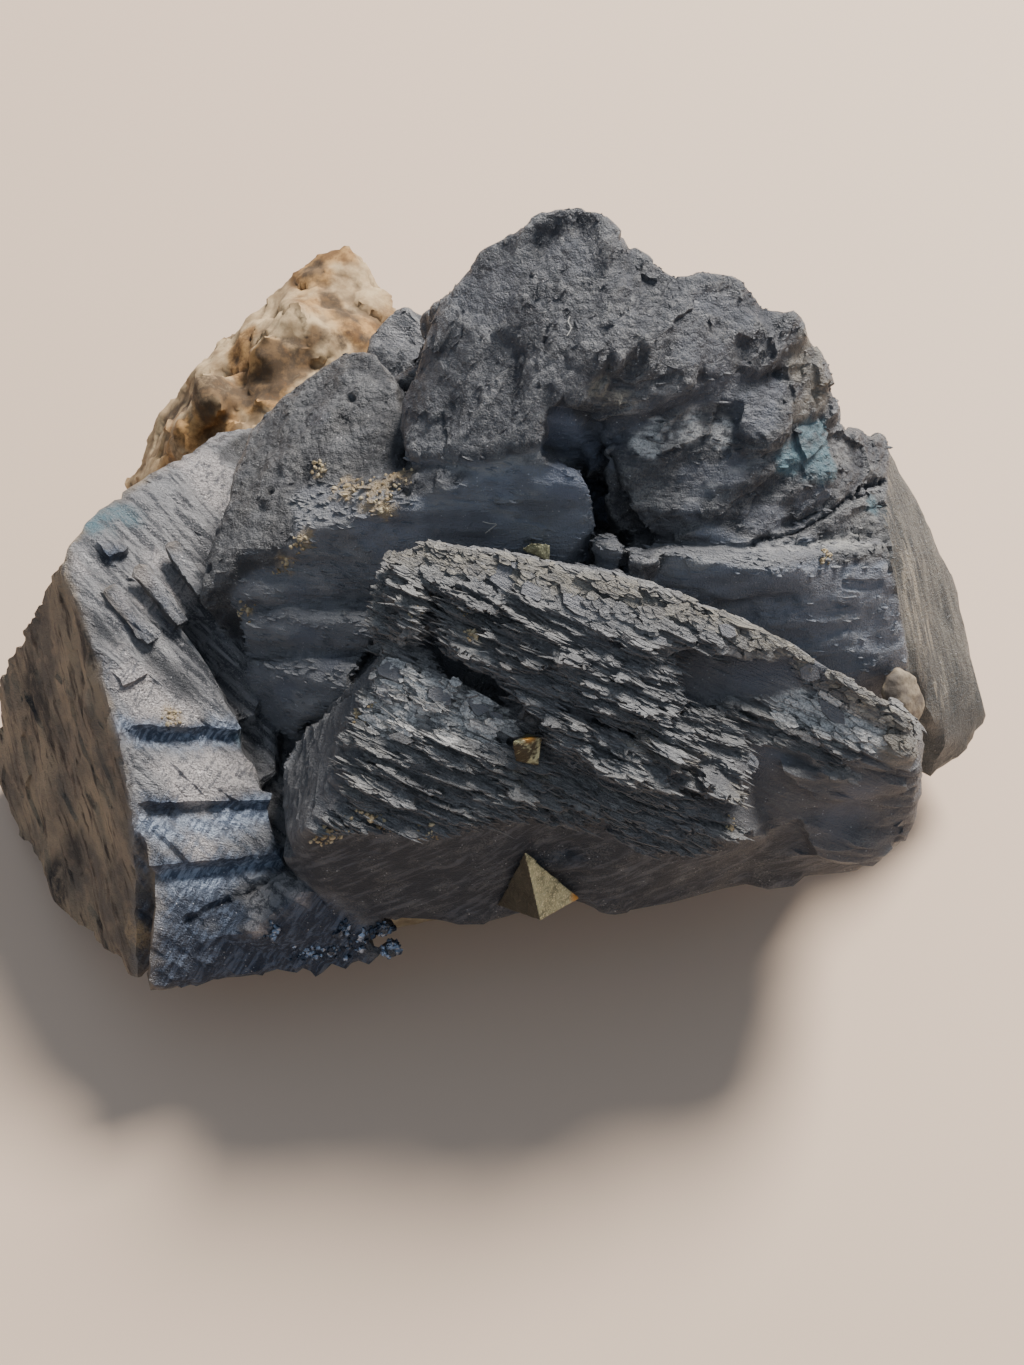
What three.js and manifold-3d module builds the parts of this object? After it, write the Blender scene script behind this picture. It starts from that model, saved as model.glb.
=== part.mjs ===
// Sphalerite specimen: black intergrown sphalerite crystals on iron-stained rock, with three brassy
// chalcopyrite tetrahedra and one tan carbonate knob. Millimetres, +Z up, seen from the -Y side.
import * as THREE from "three";
import { ConvexGeometry } from "three/addons/geometries/ConvexGeometry.js";
import { mergeVertices } from "three/addons/utils/BufferGeometryUtils.js";
import Module from "manifold-3d";

const wasm = await Module();
wasm.setup();

const clearance = 0.3; // open joint between two minerals
const layerPitch = 1.2; // spacing of the growth layers on the striated faces
const layerLength = 4.3; // mean length of one broken growth layer
const layerRise = 0.75; // how far its lip stands proud
const layerRoot = 0.8; // how deep it is grown into the face
const weldTolerance = 1e-4;

// Solids from corner points

const hullOf = (corners) => new ConvexGeometry(corners.map((c) => new THREE.Vector3(...c)));

// A plane-faced crystal is the hull of its corners.
function crystal(corners) {
  const shell = hullOf(corners);
  shell.deleteAttribute("normal");
  shell.deleteAttribute("uv");
  const merged = mergeVertices(shell, weldTolerance);
  return new wasm.Manifold(
    new wasm.Mesh({
      numProp: 3,
      vertProperties: new Float32Array(merged.attributes.position.array),
      triVerts: new Uint32Array(merged.index.array),
    }),
  );
}

// The same crystal with every face moved out, to cut the room that it needs.
function crystalWithRoom(corners, room) {
  const reach = room * 1.25;
  const moved = [];
  for (const [x, y, z] of corners) {
    moved.push([x - reach, y, z], [x + reach, y, z]);
    moved.push([x, y - reach, z], [x, y + reach, z]);
    moved.push([x, y, z - reach], [x, y, z + reach]);
  }
  return crystal(moved);
}

const joined = (solids) => solids.reduce((all, one) => all.add(one));

// Crystals that grew into each other leave no hollow inside: keep the outer shells only.
const withoutHollows = (solid) =>
  joined(solid.decompose().filter((shell) => shell.volume() > 0));

function meshOf(solid, name, color, roughness, metalness) {
  const body = solid.getMesh();
  const geometry = new THREE.BufferGeometry();
  const positions = new Float32Array(body.numVert * 3);
  for (let v = 0; v < body.numVert; v++)
    for (let k = 0; k < 3; k++)
      positions[3 * v + k] = body.vertProperties[v * body.numProp + k];
  geometry.setAttribute("position", new THREE.BufferAttribute(positions, 3));
  geometry.setIndex(new THREE.BufferAttribute(new Uint32Array(body.triVerts), 1));
  const faceted = geometry.toNonIndexed();
  faceted.computeVertexNormals();
  const mesh = new THREE.Mesh(
    faceted,
    new THREE.MeshStandardMaterial({ color, roughness, metalness, flatShading: true }),
  );
  mesh.name = name;
  return mesh;
}

// Growth layers on striated faces

// A frame on a crystal face: s runs along the growth lines, t across them uphill, h out of the face.
function faceFrame(origin, alongPoint, upperPoint) {
  const o = new THREE.Vector3(...origin);
  const along = new THREE.Vector3(...alongPoint).sub(o).normalize();
  const out = new THREE.Vector3(...upperPoint).sub(o).cross(along).negate().normalize();
  const upSlope = new THREE.Vector3().crossVectors(out, along);
  const at = ([s, t, h]) => {
    const p = o.clone();
    p.addScaledVector(along, s).addScaledVector(upSlope, t).addScaledVector(out, h);
    return [p.x, p.y, p.z];
  };
  const toFrame = (x, y, z) => {
    const p = new THREE.Vector3(x, y, z).sub(o);
    return [p.dot(along), p.dot(upSlope), p.dot(out)];
  };
  return { at, toFrame, corners: (list) => list.map(at) };
}

// Height of the crystals' own surface over the frame's plane, or undefined beside them.
function groundUnder(frame, crystals) {
  const triangles = [];
  for (const corners of crystals) {
    const p = hullOf(corners).attributes.position;
    for (let i = 0; i < p.count; i += 3)
      triangles.push([0, 1, 2].map((k) => frame.toFrame(p.getX(i + k), p.getY(i + k), p.getZ(i + k))));
  }
  return (s, t) => {
    let top;
    for (const [a, b, c] of triangles) {
      const area = (b[0] - a[0]) * (c[1] - a[1]) - (c[0] - a[0]) * (b[1] - a[1]);
      if (area < 1e-9) continue;
      const u = ((b[0] - s) * (c[1] - t) - (c[0] - s) * (b[1] - t)) / area;
      const v = ((c[0] - s) * (a[1] - t) - (a[0] - s) * (c[1] - t)) / area;
      if (u < 0 || v < 0 || u + v > 1) continue;
      const h = u * a[2] + v * b[2] + (1 - u - v) * c[2];
      if (top === undefined || h > top) top = h;
    }
    return top;
  };
}

// Small repeatable variation for broken edges.
function variation(seed) {
  let state = seed;
  return (low, high) => {
    state = (state * 1664525 + 1013904223) % 4294967296;
    return low + ((high - low) * state) / 4294967296;
  };
}

// Rows of broken growth layers between two lines given as [s, t] points. Each layer's upper side
// dips into the face and its lower lip stands proud, like bark.
function layeredFace({ frame, crystals, lower, upper, pitch = layerPitch, length = layerLength,
  rise = layerRise, seed, skip = 0.05 }) {
  const pick = variation(seed);
  const ground = groundUnder(frame, crystals);
  const lineAt = (line, s) => {
    for (let i = 1; i < line.length; i++)
      if (s <= line[i][0]) {
        const f = (s - line[i - 1][0]) / (line[i][0] - line[i - 1][0]);
        return line[i - 1][1] + f * (line[i][1] - line[i - 1][1]);
      }
    return line[line.length - 1][1];
  };
  const first = lower[0][0];
  const last = lower[lower.length - 1][0];
  const highest = Math.max(...upper.map((p) => p[1]));
  const lowest = Math.min(...lower.map((p) => p[1]));
  const layers = [];
  for (let row = lowest; row < highest; row += pitch) {
    let s = first + pick(-0.4, 0.2) * length;
    while (s < last) {
      const reach = length * pick(0.55, 1.3);
      const mid = s + 0.5 * reach;
      const t = row + pick(-0.2, 0.2) * pitch;
      const width = pitch * pick(1.0, 1.4);
      const lip = rise * pick(0.55, 1.3);
      s += reach * pick(0.72, 1.02);
      if (pick(0, 1) < skip || mid > last || t < lineAt(lower, mid) || t + width > lineAt(upper, mid) + 0.4)
        continue;
      const outline = [
        [mid - 0.4 * reach, t + width, -0.1],
        [mid + 0.12 * reach, t + 0.95 * width, -0.1],
        [mid - 0.5 * reach, t + 0.35 * width, 0.35 * lip],
        [mid - 0.3 * reach, t, lip],
        [mid + 0.14 * reach, t - 0.05 * width, 0.8 * lip],
        [mid + 0.5 * reach, t + 0.1 * width, 0.1 * lip],
        [mid - 0.38 * reach, t + 0.15, -layerRoot],
        [mid + 0.36 * reach, t + 0.15, -layerRoot],
        [mid - 0.1 * reach, t + width, -layerRoot],
      ];
      layers.push(...onGround(frame, ground, outline));
    }
  }
  return layers;
}

// An outline given over the ground becomes a solid only where the whole of it lies on the crystal.
function onGround(frame, ground, outline) {
  const raised = outline.map(([s, t, h]) => [s, t, ground(s, t) + h]);
  return raised.some(([, , h]) => Number.isNaN(h)) ? [] : [frame.corners(raised)];
}

// Low ribs on a face: each runs from one [s, t] point to another, with a crest between its sides.
function ribs({ frame, crystals, lines, width, rise }) {
  const ground = groundUnder(frame, crystals);
  return lines.flatMap(([s0, t0, s1, t1, scale = 1]) => {
    const half = 0.5 * width * scale;
    const crest = rise * scale;
    const between = (f) => [s0 + f * (s1 - s0), t0 + f * (t1 - t0)];
    const outline = [
      [...between(0), 0.1], [...between(0.25), crest], [...between(0.8), 0.8 * crest], [...between(1), 0.1],
      ...[0.2, 0.75].flatMap((f) => {
        const [s, t] = between(f);
        return [[s, t - half, 0], [s, t + half, 0], [s, t, -layerRoot]];
      }),
    ];
    return onGround(frame, ground, outline);
  });
}

// Low uneven mounds on a face, given as [s, t, radius].
function mounds({ frame, crystals, spots, rise, seed }) {
  const ground = groundUnder(frame, crystals);
  const pick = variation(seed);
  return spots.flatMap(([s, t, radius]) => {
    const turn = pick(0, Math.PI);
    const ring = (count, reach, height) =>
      Array.from({ length: count }, (_, i) => {
        const angle = turn + (2 * Math.PI * (i + pick(-0.25, 0.25))) / count;
        const r = reach * radius * pick(0.8, 1.2);
        return [s + r * Math.cos(angle), t + r * Math.sin(angle), height * radius * pick(0.7, 1.2)];
      });
    const outline = [...ring(6, 1, 0), ...ring(3, 0.45, rise), [s, t, -layerRoot]];
    return onGround(frame, ground, outline);
  });
}

// A rough bead or, cut out, a pit: irregular facets around a centre.
const lump = ([x, y, z, r]) => [
  [x - r, y, z], [x + r, y + 0.2 * r, z], [x, y - r, z + 0.1 * r], [x + 0.2 * r, y + r, z],
  [x - 0.1 * r, y, z - 0.9 * r], [x, y, z + 0.9 * r], [x + 0.6 * r, y - 0.5 * r, z - 0.5 * r],
];

// Front slab, the striated crystal

const frontFrame = faceFrame([-5.5, -2.5, 36], [17, -10, 29], [8, 1.5, 41]);

const frontCore = [
  ...frontFrame.corners([
    [-5.5, 0.4, -1.8], [-6, 5.2, -2.6], [-4.6, 6.9, -3.0], [1, 8.7, -2.2], [10, 10.8, -1.8],
    [16, 11.6, -2.2], [23, 11.8, -2.8], [31, 10.4, -3.0], [26, 3, -3.0], [18, -2.2, -1.2],
    [9.5, -2.0, -1.2], [0, -0.4, -1.4],
  ]),
  [-9, 9, 32], [8, 9, 33], [20, 4, 28], [28, 0, 24],
  [-9.5, 1, 26], [0, -6, 22], [14, -9, 20], [26, -5, 20],
];

// Upper band of the slab: flatter, so it shows light, and it ends in the curved ridge.
const frontBandLeft = frontFrame.corners([
  [-6.4, 5.6, -1.6], [-5.1, 7.3, -2.0], [0.7, 9.2, -0.9], [9.7, 11.4, -0.2],
  [-4.9, 4.0, -0.9], [-1.8, 4.6, 0.1], [3.9, 5.6, 0.5], [10.3, 6.9, 0.8],
  [-5.6, 5.4, -5], [0.7, 8.6, -5], [9.7, 10.6, -5], [-3, 3.8, -4], [10, 6.6, -4],
]);
const frontBandMiddle = frontFrame.corners([
  [8.7, 11.2, -0.3], [15.8, 12.3, -0.5], [22.9, 12.3, -1.3], [24.4, 11.1, -1.9],
  [9.4, 7.6, 0.5], [13.5, 7.9, 0.6], [17.4, 9.0, 0.1], [21, 10.0, -0.9],
  [9, 10.6, -5], [23.6, 11.3, -5], [17, 8.8, -4], [9.6, 7.4, -4],
]);
const frontBandRight = frontFrame.corners([
  [22.3, 12.2, -1.5], [29.5, 11.1, -1.0], [33.5, 10.9, -1.4], [34.4, 10.2, -1.9],
  [23.8, 10.8, -2.1], [28.5, 9.6, -1.8], [32.6, 9.3, -1.9],
  [23, 11.6, -5], [33.6, 10.2, -5], [28.5, 9.4, -4.5],
]);

// Shelves below the band, each with a lip that overhangs the next.
const frontShelves = [
  [[-5.2, 4.6, -1.0], [-3.4, 1.6, -0.5], [-1.4, 1.2, -0.2], [5.3, 2.9, 0.3], [4.2, 6.0, -0.1],
   [-5, 3, -3], [5, 4, -3], [-3, 1.5, -2.5], [5.2, 2.9, -2.5]],
  [[3.6, 6.1, 0.0], [4.6, 2.6, 0.2], [12.1, 2.7, 1.1], [16.6, 3.2, 0.9], [17.2, 5.8, -0.3],
   [15.2, 7.9, -0.4], [9, 7.2, 0.1], [4, 4, -3], [12, 2.9, -2.5], [16.8, 4, -3], [10, 7, -3]],
  [[2.4, 2.6, -0.2], [6.5, 0.3, 1.0], [10.6, -0.6, 1.1], [13.6, 3.2, 0.3], [6.5, 3.4, 0.1],
   [6.5, 0.5, -3], [11, -0.2, -3], [3, 2, -3], [13, 3, -3]],
  [[10.0, 2.9, 0.3], [9.4, -2.0, 0.4], [17.6, -2.4, 0.9], [20.0, -1.6, 0.6], [21.2, 1.4, -0.2],
   [18.2, 3.2, 0.3], [10, -1.5, -3], [17.6, -2, -3], [20.5, 1, -3], [12, 3, -3]],
  [[17.0, 3.4, 0.2], [19.8, -0.8, 0.2], [24.7, 0.2, 0.0], [25.3, 3.0, -1.4], [21.0, 5.4, -1.3],
   [20, 0, -3.5], [24.6, 0.6, -3.5], [21, 5, -3.5]],
].map((corners) => frontFrame.corners(corners));

const frontBands = [frontBandLeft, frontBandMiddle, frontBandRight];
const frontGround = [frontCore, ...frontBands, ...frontShelves];
const frontLayers = [
  ...layeredFace({
    frame: frontFrame, crystals: frontGround, seed: 7, pitch: 2.2, length: 4.2, rise: 0.45,
    lower: [[-6, 4.8], [4, 6.2], [10, 7.4], [17, 9.2], [24, 10.8]],
    upper: [[-6, 6.6], [0.7, 8.6], [9.7, 10.8], [16, 11.8], [24, 11.8]],
  }),
  ...layeredFace({
    frame: frontFrame, crystals: frontGround, seed: 23, pitch: 1.4, length: 5,
    lower: [[-5, 0.6], [3, 2.0], [9, 2.2], [17, 2.8]],
    upper: [[-5, 4.4], [4, 6.0], [10, 7.2], [16, 7.4], [17, 5.6]],
  }),
  ...layeredFace({
    frame: frontFrame, crystals: frontGround, seed: 37, rise: 0.95, skip: 0.1, pitch: 1.45, length: 5,
    lower: [[3, 0.2], [9, -2.4], [18, -2.6], [25, 0]],
    upper: [[3, 2.4], [9, 2.8], [17, 3.2], [25, 3.2]],
  }),
];

// Lower front slab

const lowerFrame = faceFrame([-16, -11.5, 26.5], [-0.5, -17, 22], [-9.5, -1, 35]);

const lowerSlab = [
  [-9.5, -1, 35], [-5.5, -2, 35], [-1, -4, 33.5], [1.5, -7, 31.5],
  [-10.5, -3.25, 33.5], [-6.25, -4.75, 33.4], [-1, -6, 32.25], [2.5, -8, 30.5],
  [-13, -6.5, 30.5], [-16, -11.5, 26.5], [-5.5, -11.5, 27], [4.5, -9, 28],
  [-13, 1, 27], [-10, 3, 30], [2, -2, 28], [5, -6, 25],
  [-19, -0.5, 20], [-18.5, -10, 19], [-15, -11, 18], [4, -10, 18],
];
const lowerUnderside = [
  [-16, -11.5, 26.5], [-5.5, -11.6, 27], [4.5, -9.5, 27.8], [-18.2, -9.6, 21],
  [-18.5, -10, 19], [-15, -12.5, 15], [-9.5, -12.6, 13], [-2, -12.4, 13], [4, -11.5, 14],
  [-19, -0.5, 20], [-17, 0, 13], [4, -1, 11], [-6, -8, 10.5],
];
// Smooth plates of the upper growth layer that are still whole.
const lowerPlates = [
  [[-10.6, -3.0, 34.0], [-9.4, -1.4, 35.3], [-7.6, -1.7, 35.4], [-7.0, -3.6, 34.6], [-9.0, -4.2, 33.9],
   [-9, -2.5, 32]],
  [[-7.4, -3.2, 34.9], [-5.4, -2.3, 35.2], [-4.2, -3.4, 34.8], [-5.4, -5.0, 33.9], [-7.0, -4.6, 34.1],
   [-6, -3.5, 32.5]],
  [[-3.8, -4.3, 34.2], [-2.2, -3.7, 34.4], [-0.4, -4.9, 33.5], [-1.2, -6.2, 32.6], [-3.4, -5.7, 33.2],
   [-2, -5, 31.5]],
];
const lowerLayers = layeredFace({
  frame: lowerFrame, crystals: [lowerSlab, lowerUnderside], seed: 51, rise: 0.7,
  skip: 0.12, pitch: 1.5, length: 5,
  lower: [[-1, -0.4], [9.4, 4.4], [17.4, 10.6]],
  upper: [[-1, 12.0], [0.5, 12.4], [9, 13.4], [15, 13.2], [17.4, 12.0]],
});

// Right lobe and middle block

const rightLobe = [
  [17.5, -3, 32], [24, -3.4, 32.8], [29.6, -5, 32.4], [30.8, -6.8, 30], [25, -6.6, 30.2], [19, -6, 30],
  [32.5, -6.5, 24], [32, -8.5, 20], [28.5, -10, 17], [20.5, -10, 15], [17, -10.4, 22],
  [32.6, -2.4, 27], [33.6, -1.4, 20], [18, -1, 29], [30, -2, 30], [19, 0, 12], [30, 0, 13], [33.5, -1, 16],
];
const rightShell = [
  [22.5, -9.6, 24.5], [27.5, -10.2, 22.5], [30.5, -9.8, 21], [28.8, -10.9, 19.6], [24, -10.9, 21.5],
  [25, -7, 25], [31, -7, 22], [25, -8, 16], [30, -8, 16],
];
const rightShelves = [
  [[20.5, -7.6, 29.4], [25, -7.8, 28.8], [30.4, -8.0, 27.6], [30.8, -7.6, 25.6], [24, -9.0, 26.2],
   [21, -5, 29], [30, -5, 28], [24, -6, 24], [30, -5, 23]],
  [[26, -5.6, 31.4], [29.8, -6.6, 31.2], [31, -7.2, 29.4], [28, -7.8, 29], [25, -7.2, 29.6],
   [27, -4, 29], [30, -5, 28]],
];
const middleBlock = [
  [3.5, -7.5, 30.5], [11, -8, 30.6], [17.5, -11.2, 26.2], [10.5, -10.6, 28], [4.5, -9.5, 28],
  [8, -11.9, 20], [8, -12, 13.5], [15.5, -10.6, 14], [19, -9.2, 14], [20, -10.6, 24], [3.5, -11, 15],
  [4, -2, 27], [20, -2, 28], [5, -1, 11], [19, -1, 11],
];
const lowerKnobs = [
  [[-6.5, -12.2, 15], [-4.5, -13.2, 14], [-2.2, -13.1, 13.8], [-1.2, -12.3, 15], [-2, -11.6, 12.2],
   [-5.4, -11.8, 12.2], [-4, -11, 17]],
  [[6.4, -11.9, 15.5], [8, -12.8, 14.6], [10, -12.5, 14.4], [10.8, -11.6, 15.8], [9.6, -11.2, 12.6],
   [7.2, -11.4, 12.8], [8.6, -10.5, 18]],
  [[19, -9.8, 16.5], [21, -10.9, 15.6], [23.6, -10.9, 16], [24.4, -9.8, 17.4], [22, -9.2, 13.6],
   [19.6, -9, 14], [22, -8.6, 19]],
];
const rightLayers = [
  ...layeredFace({
    frame: faceFrame([19, -6, 30], [30.8, -6.8, 30], [24, -3.4, 32.8]),
    crystals: [rightLobe, ...rightShelves],
    lower: [[2, 0.4], [12, 0.2]], upper: [[2, 3.4], [12, 3.2]], pitch: 1.1, length: 3.2, rise: 0.5, seed: 61,
  }),
  ...ribs({
    frame: faceFrame([8, -12, 20], [16, -12.6, 18.6], [8.4, -10.8, 28]),
    crystals: [middleBlock, lowerUnderside, rightLobe],
    lines: [
      [-9, -2, -1, 1.4], [-6, 2.6, 0, 5.6], [1, -3, 8, 0.6], [2, 2, 9, 4.6],
      [10, -2.4, 17, 0.4], [12, 2, 18, 5], [-14, -1, -8, 2.2, 0.8], [18, -1, 23, 1.6, 0.8],
    ],
    width: 1.8, rise: 0.45,
  }),
];

// Pitted middle lobe

const middleLobe = [
  [-26, 9, 29], [-24, 16.5, 33], [-22.5, 23.5, 34], [-19, 27, 36], [-14.5, 29, 38], [-11.5, 28, 39],
  [-9.5, 24, 39.2], [-9, 16, 37], [-16.5, 15.6, 35.4], [-22, 11.2, 32.4],
  [-24, 14, 18], [-21, 28, 18], [-8, 32, 20], [-6, 16, 26], [-22, 8, 16],
];
// Its smooth dark face below the crusted ridge.
const middleWedge = [
  [-16.5, 15.2, 35.5], [-9, 14.2, 38.4], [-2.5, 12.9, 40.4], [2.2, 12.6, 42], [5.6, 11.8, 40.8],
  [6.8, 11.2, 37.6], [3.8, 9.1, 33.4], [-1, 9.4, 33.8], [-8.2, 10.8, 33.5], [-17.5, 11.6, 32.2],
  [-22, 11, 32],
  [-20, 22, 30], [-4, 20, 36], [4, 18, 36], [6, 13, 22], [-18, 12, 20], [4, 9, 24],
];
const middleSteps = [
  [[-23, 10.2, 29.8], [-17.5, 11.8, 32.4], [-8.5, 10.8, 34], [-4, 9.6, 33.4], [-4.5, 8.2, 31],
   [-10, 8.6, 31.2], [-18, 9.2, 30.2], [-23.4, 9.2, 28.4], [-20, 14, 28], [-4, 14, 28], [-22, 9, 24],
   [-5, 8, 24]],
  [[-22.8, 8.6, 27.8], [-18, 8.2, 29], [-10.2, 6.6, 30.2], [-9.6, 5.0, 28.6], [-16.5, 6.0, 27.4],
   [-22.8, 7.0, 25.8], [-20, 12, 24], [-8, 12, 26], [-22, 7.4, 20], [-10, 5.2, 22]],
  [[-22.6, 6.2, 24.2], [-17, 5.4, 26.2], [-12.5, 3.6, 27.4], [-12.8, 2.0, 25.8], [-18.2, 1.8, 21.8],
   [-22.4, 4.6, 20.8], [-20, 10, 20], [-9, 8, 24], [-20, 5, 15], [-12, 3, 16], [-18, 1.8, 18]],
];
// Dark floors of the crevices between the middle lobe, the rear group and the front slab.
const frontRoot = [
  [-9, 2, 24], [6, 1, 23], [24, -1, 21], [32, 0, 17], [33, 9, 19], [24, 13, 22], [6, 14, 24], [-10, 12, 25],
  [-10, 0, 10], [32, 2, 9], [34, 12, 9], [-10, 14, 9],
];
const creviceFloor = [
  [2, 9, 26], [13, 8, 26], [14, 16, 28], [3, 18, 30], [7, 20, 34], [2, 8, 14], [14, 8, 14], [12, 20, 16],
  [2, 20, 16],
];
const leftCreviceFloor = [
  [-24, 8, 17], [-17, 6, 17], [-16, 1, 17], [-16.5, -5, 15.6], [-19, -7.4, 14], [-24, 0, 14], [-28, 8, 16],
  [-22, 10, 8], [-13, -4, 9], [-26, 2, 8],
];
const middlePits = [
  [-10.4, 16.6, 38.4, 1.5], [-19.6, 17.8, 35.0, 0.9], [-20.8, 14.8, 33.9, 1.1], [-14.2, 21.4, 37.2, 0.8],
  [-8.0, 15.8, 37.4, 0.9], [-17.4, 24.2, 36.6, 0.8], [-23.0, 12.4, 32.4, 0.9], [-12.6, 17.4, 36.8, 0.7],
];
const middleLayers = [
  ...layeredFace({
    frame: faceFrame([-23, 9.4, 28.6], [-10, 8.4, 31], [-17.5, 11.8, 32.4]),
    crystals: [middleLobe, ...middleSteps],
    lower: [[0, 0.2], [19, 0.2]], upper: [[0, 2.8], [19, 3.6]], pitch: 1.5, length: 5, rise: 0.5, seed: 71,
  }),
  ...ribs({
    frame: faceFrame([-22.8, 6.6, 25.6], [-10, 4.6, 28.4], [-18, 8.2, 29]), crystals: middleSteps,
    lines: [[0, 0.6, 7, 0.8], [5, 1.8, 12.4, 1.4], [1, 2.4, 6, 2.6, 0.8]], width: 1.2, rise: 0.4,
  }),
  ...ribs({
    frame: faceFrame([-14, 12.4, 34], [4, 10.4, 35.6], [-9, 14.2, 38.4]), crystals: [middleWedge],
    lines: [[1, 1.6, 9, 2.4], [7, 3.6, 15, 5.2, 0.8], [6, 0.2, 16, 1.2], [12, 3.0, 19, 3.4, 0.7]],
    width: 1.6, rise: 0.4,
  }),
  ...mounds({
    frame: faceFrame([-20, 12, 33], [-8, 24, 38.5], [-24, 18, 33.4]),
    crystals: [middleLobe], rise: 0.2, seed: 79,
    spots: [
      [2, 2.4, 2.2], [5.6, 4, 2.4], [8.4, 0.6, 2.6], [11, 4.2, 2.6], [12.6, -0.6, 2.2], [6.2, -2.6, 2.2],
      [14.6, 3, 2.0], [2.8, -1.2, 1.8], [10.6, -3.6, 1.8], [8.4, 6.4, 1.8], [14.4, 6.2, 1.8],
    ],
  }),
];

// Rear group

const rearPeak = [
  [-6, 24.5, 44], [-4, 26, 48], [-2.5, 27.5, 50], [2.5, 27.8, 53], [5, 27.8, 54], [7, 27, 54],
  [8.5, 25, 52.4], [2.5, 20.2, 48.4], [8.3, 19.6, 48.8], [2.4, 15.6, 45.2], [8, 15, 45], [-8.6, 20, 41.4],
  [-7.6, 17, 40.4], [-9, 24, 32], [-8, 32, 26], [2, 37, 24], [12, 35, 24], [10, 18, 34], [-4, 18, 32],
];
// Broken slope that runs from the peak down to the crusted ridge of the middle lobe.
const rearFoot = [
  [-9, 20, 41], [-8.4, 15.2, 39.6], [-2.5, 12.8, 41.4], [2.4, 12.9, 43], [2.6, 15.6, 45.4], [-5, 20, 43.4],
  [-9, 24, 32], [2, 20, 32], [-6, 24.5, 42], [-6, 15, 34], [2, 14, 34],
];
const rearShoulder = [
  [6.5, 26, 52], [9, 25.4, 51.6], [13.5, 23.5, 50], [14.5, 19.5, 48], [13.5, 16, 46], [8, 15.2, 45],
  [6, 20, 48.6], [6, 16, 36], [14, 17, 36], [6, 34, 26], [15, 34, 24],
];
const rearBlock = [
  [13, 23.6, 49.6], [14.5, 24.6, 50.2], [17.5, 24.6, 49.6], [22, 23, 47], [24.5, 22.5, 44],
  [26.2, 19.6, 40], [22, 17.8, 41.2], [19.4, 18.6, 44], [13.5, 16.6, 45.2], [14.5, 19.5, 47.8],
  [13, 18, 34], [26, 20, 32], [14, 34, 24], [25, 32, 24], [28, 26, 32],
];
// Face in shadow under the overhanging edge.
const rearShadowFace = [
  [3.6, 16.4, 43.6], [8, 16, 43.6], [13.6, 17.4, 44.4], [19.4, 19, 43], [4.6, 16.0, 40.4], [8.6, 16.4, 41.4],
  [14.5, 18.6, 42.4], [5, 22, 36], [20, 24, 38], [8, 17, 34], [18, 20, 34],
];
const rearLower = [
  [7, 14.5, 41], [14.5, 17, 43.2], [21.5, 17.8, 41], [28.5, 20.5, 37], [30, 18, 34], [31, 13.6, 32.4],
  [20, 10.4, 34.6], [11, 10.6, 35.4], [7.4, 13.2, 38.6], [9.4, 13.2, 38.2], [20, 14.6, 38.4],
  [9, 14, 26], [30, 14, 24], [10, 24, 30], [30, 24, 30],
];
const rearLedge = [
  [8.5, 9.6, 34.6], [11, 9, 35.4], [19.5, 8.0, 34.6], [30.8, 12.6, 32.2], [31.4, 11, 31],
  [15.5, 7.4, 31], [20, 7.2, 30], [33, 8, 25], [30, 5.4, 21], [35.5, 6, 19], [9.5, 8, 28],
  [10, 14, 30], [30, 16, 30], [12, 7, 14], [34, 7, 11], [33, 16, 12],
];
const backKnobs = [
  [[6.2, 9.4, 35.6], [7.8, 8.4, 36.2], [9, 8.6, 35.4], [8.2, 10.6, 36.2], [6.6, 10.8, 35.6], [7.5, 9.5, 27]],
  [[9.2, 8, 35], [10.8, 7.2, 35.4], [12, 7.8, 34.8], [11.2, 9.6, 35.8], [9.6, 9.6, 35.4], [10.6, 8.4, 27]],
];
// Steps where the rear crystals broke off along their cleavage.
const rearBreaks = [
  [[-6.5, 31, 41], [1, 32.5, 43], [3, 34.5, 40], [-1, 36.5, 36], [-8, 34.5, 36.5], [-9, 37, 24], [3, 40, 24],
   [-2, 30, 24]],
  [[4, 32, 46], [8, 31.6, 45], [9.5, 33.6, 42], [5, 35.4, 41], [3.4, 34, 43], [3, 39, 26], [10, 38, 26],
   [6, 30, 26]],
  [[9, 31.5, 41], [14, 30.5, 42], [16, 33, 38], [13, 36, 34], [8.6, 35.4, 36], [9, 38, 24], [17, 37, 24],
   [12, 29, 24]],
  [[16.5, 29.5, 42], [22, 28.5, 40], [24, 30.4, 36], [20, 33.6, 33], [16, 33, 35], [17, 35, 22], [25, 34, 22],
   [20, 27, 22]],
  [[-12, 30, 33], [-7, 31, 34], [-5, 34, 29], [-9, 34.5, 28], [-13, 32, 30], [-13, 33, 18], [-6, 36, 18],
   [-8, 28, 18]],
];
const rearFrame = faceFrame([2, 16, 45], [8.6, 24.5, 51.5], [-2.5, 27.5, 50]);
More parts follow.
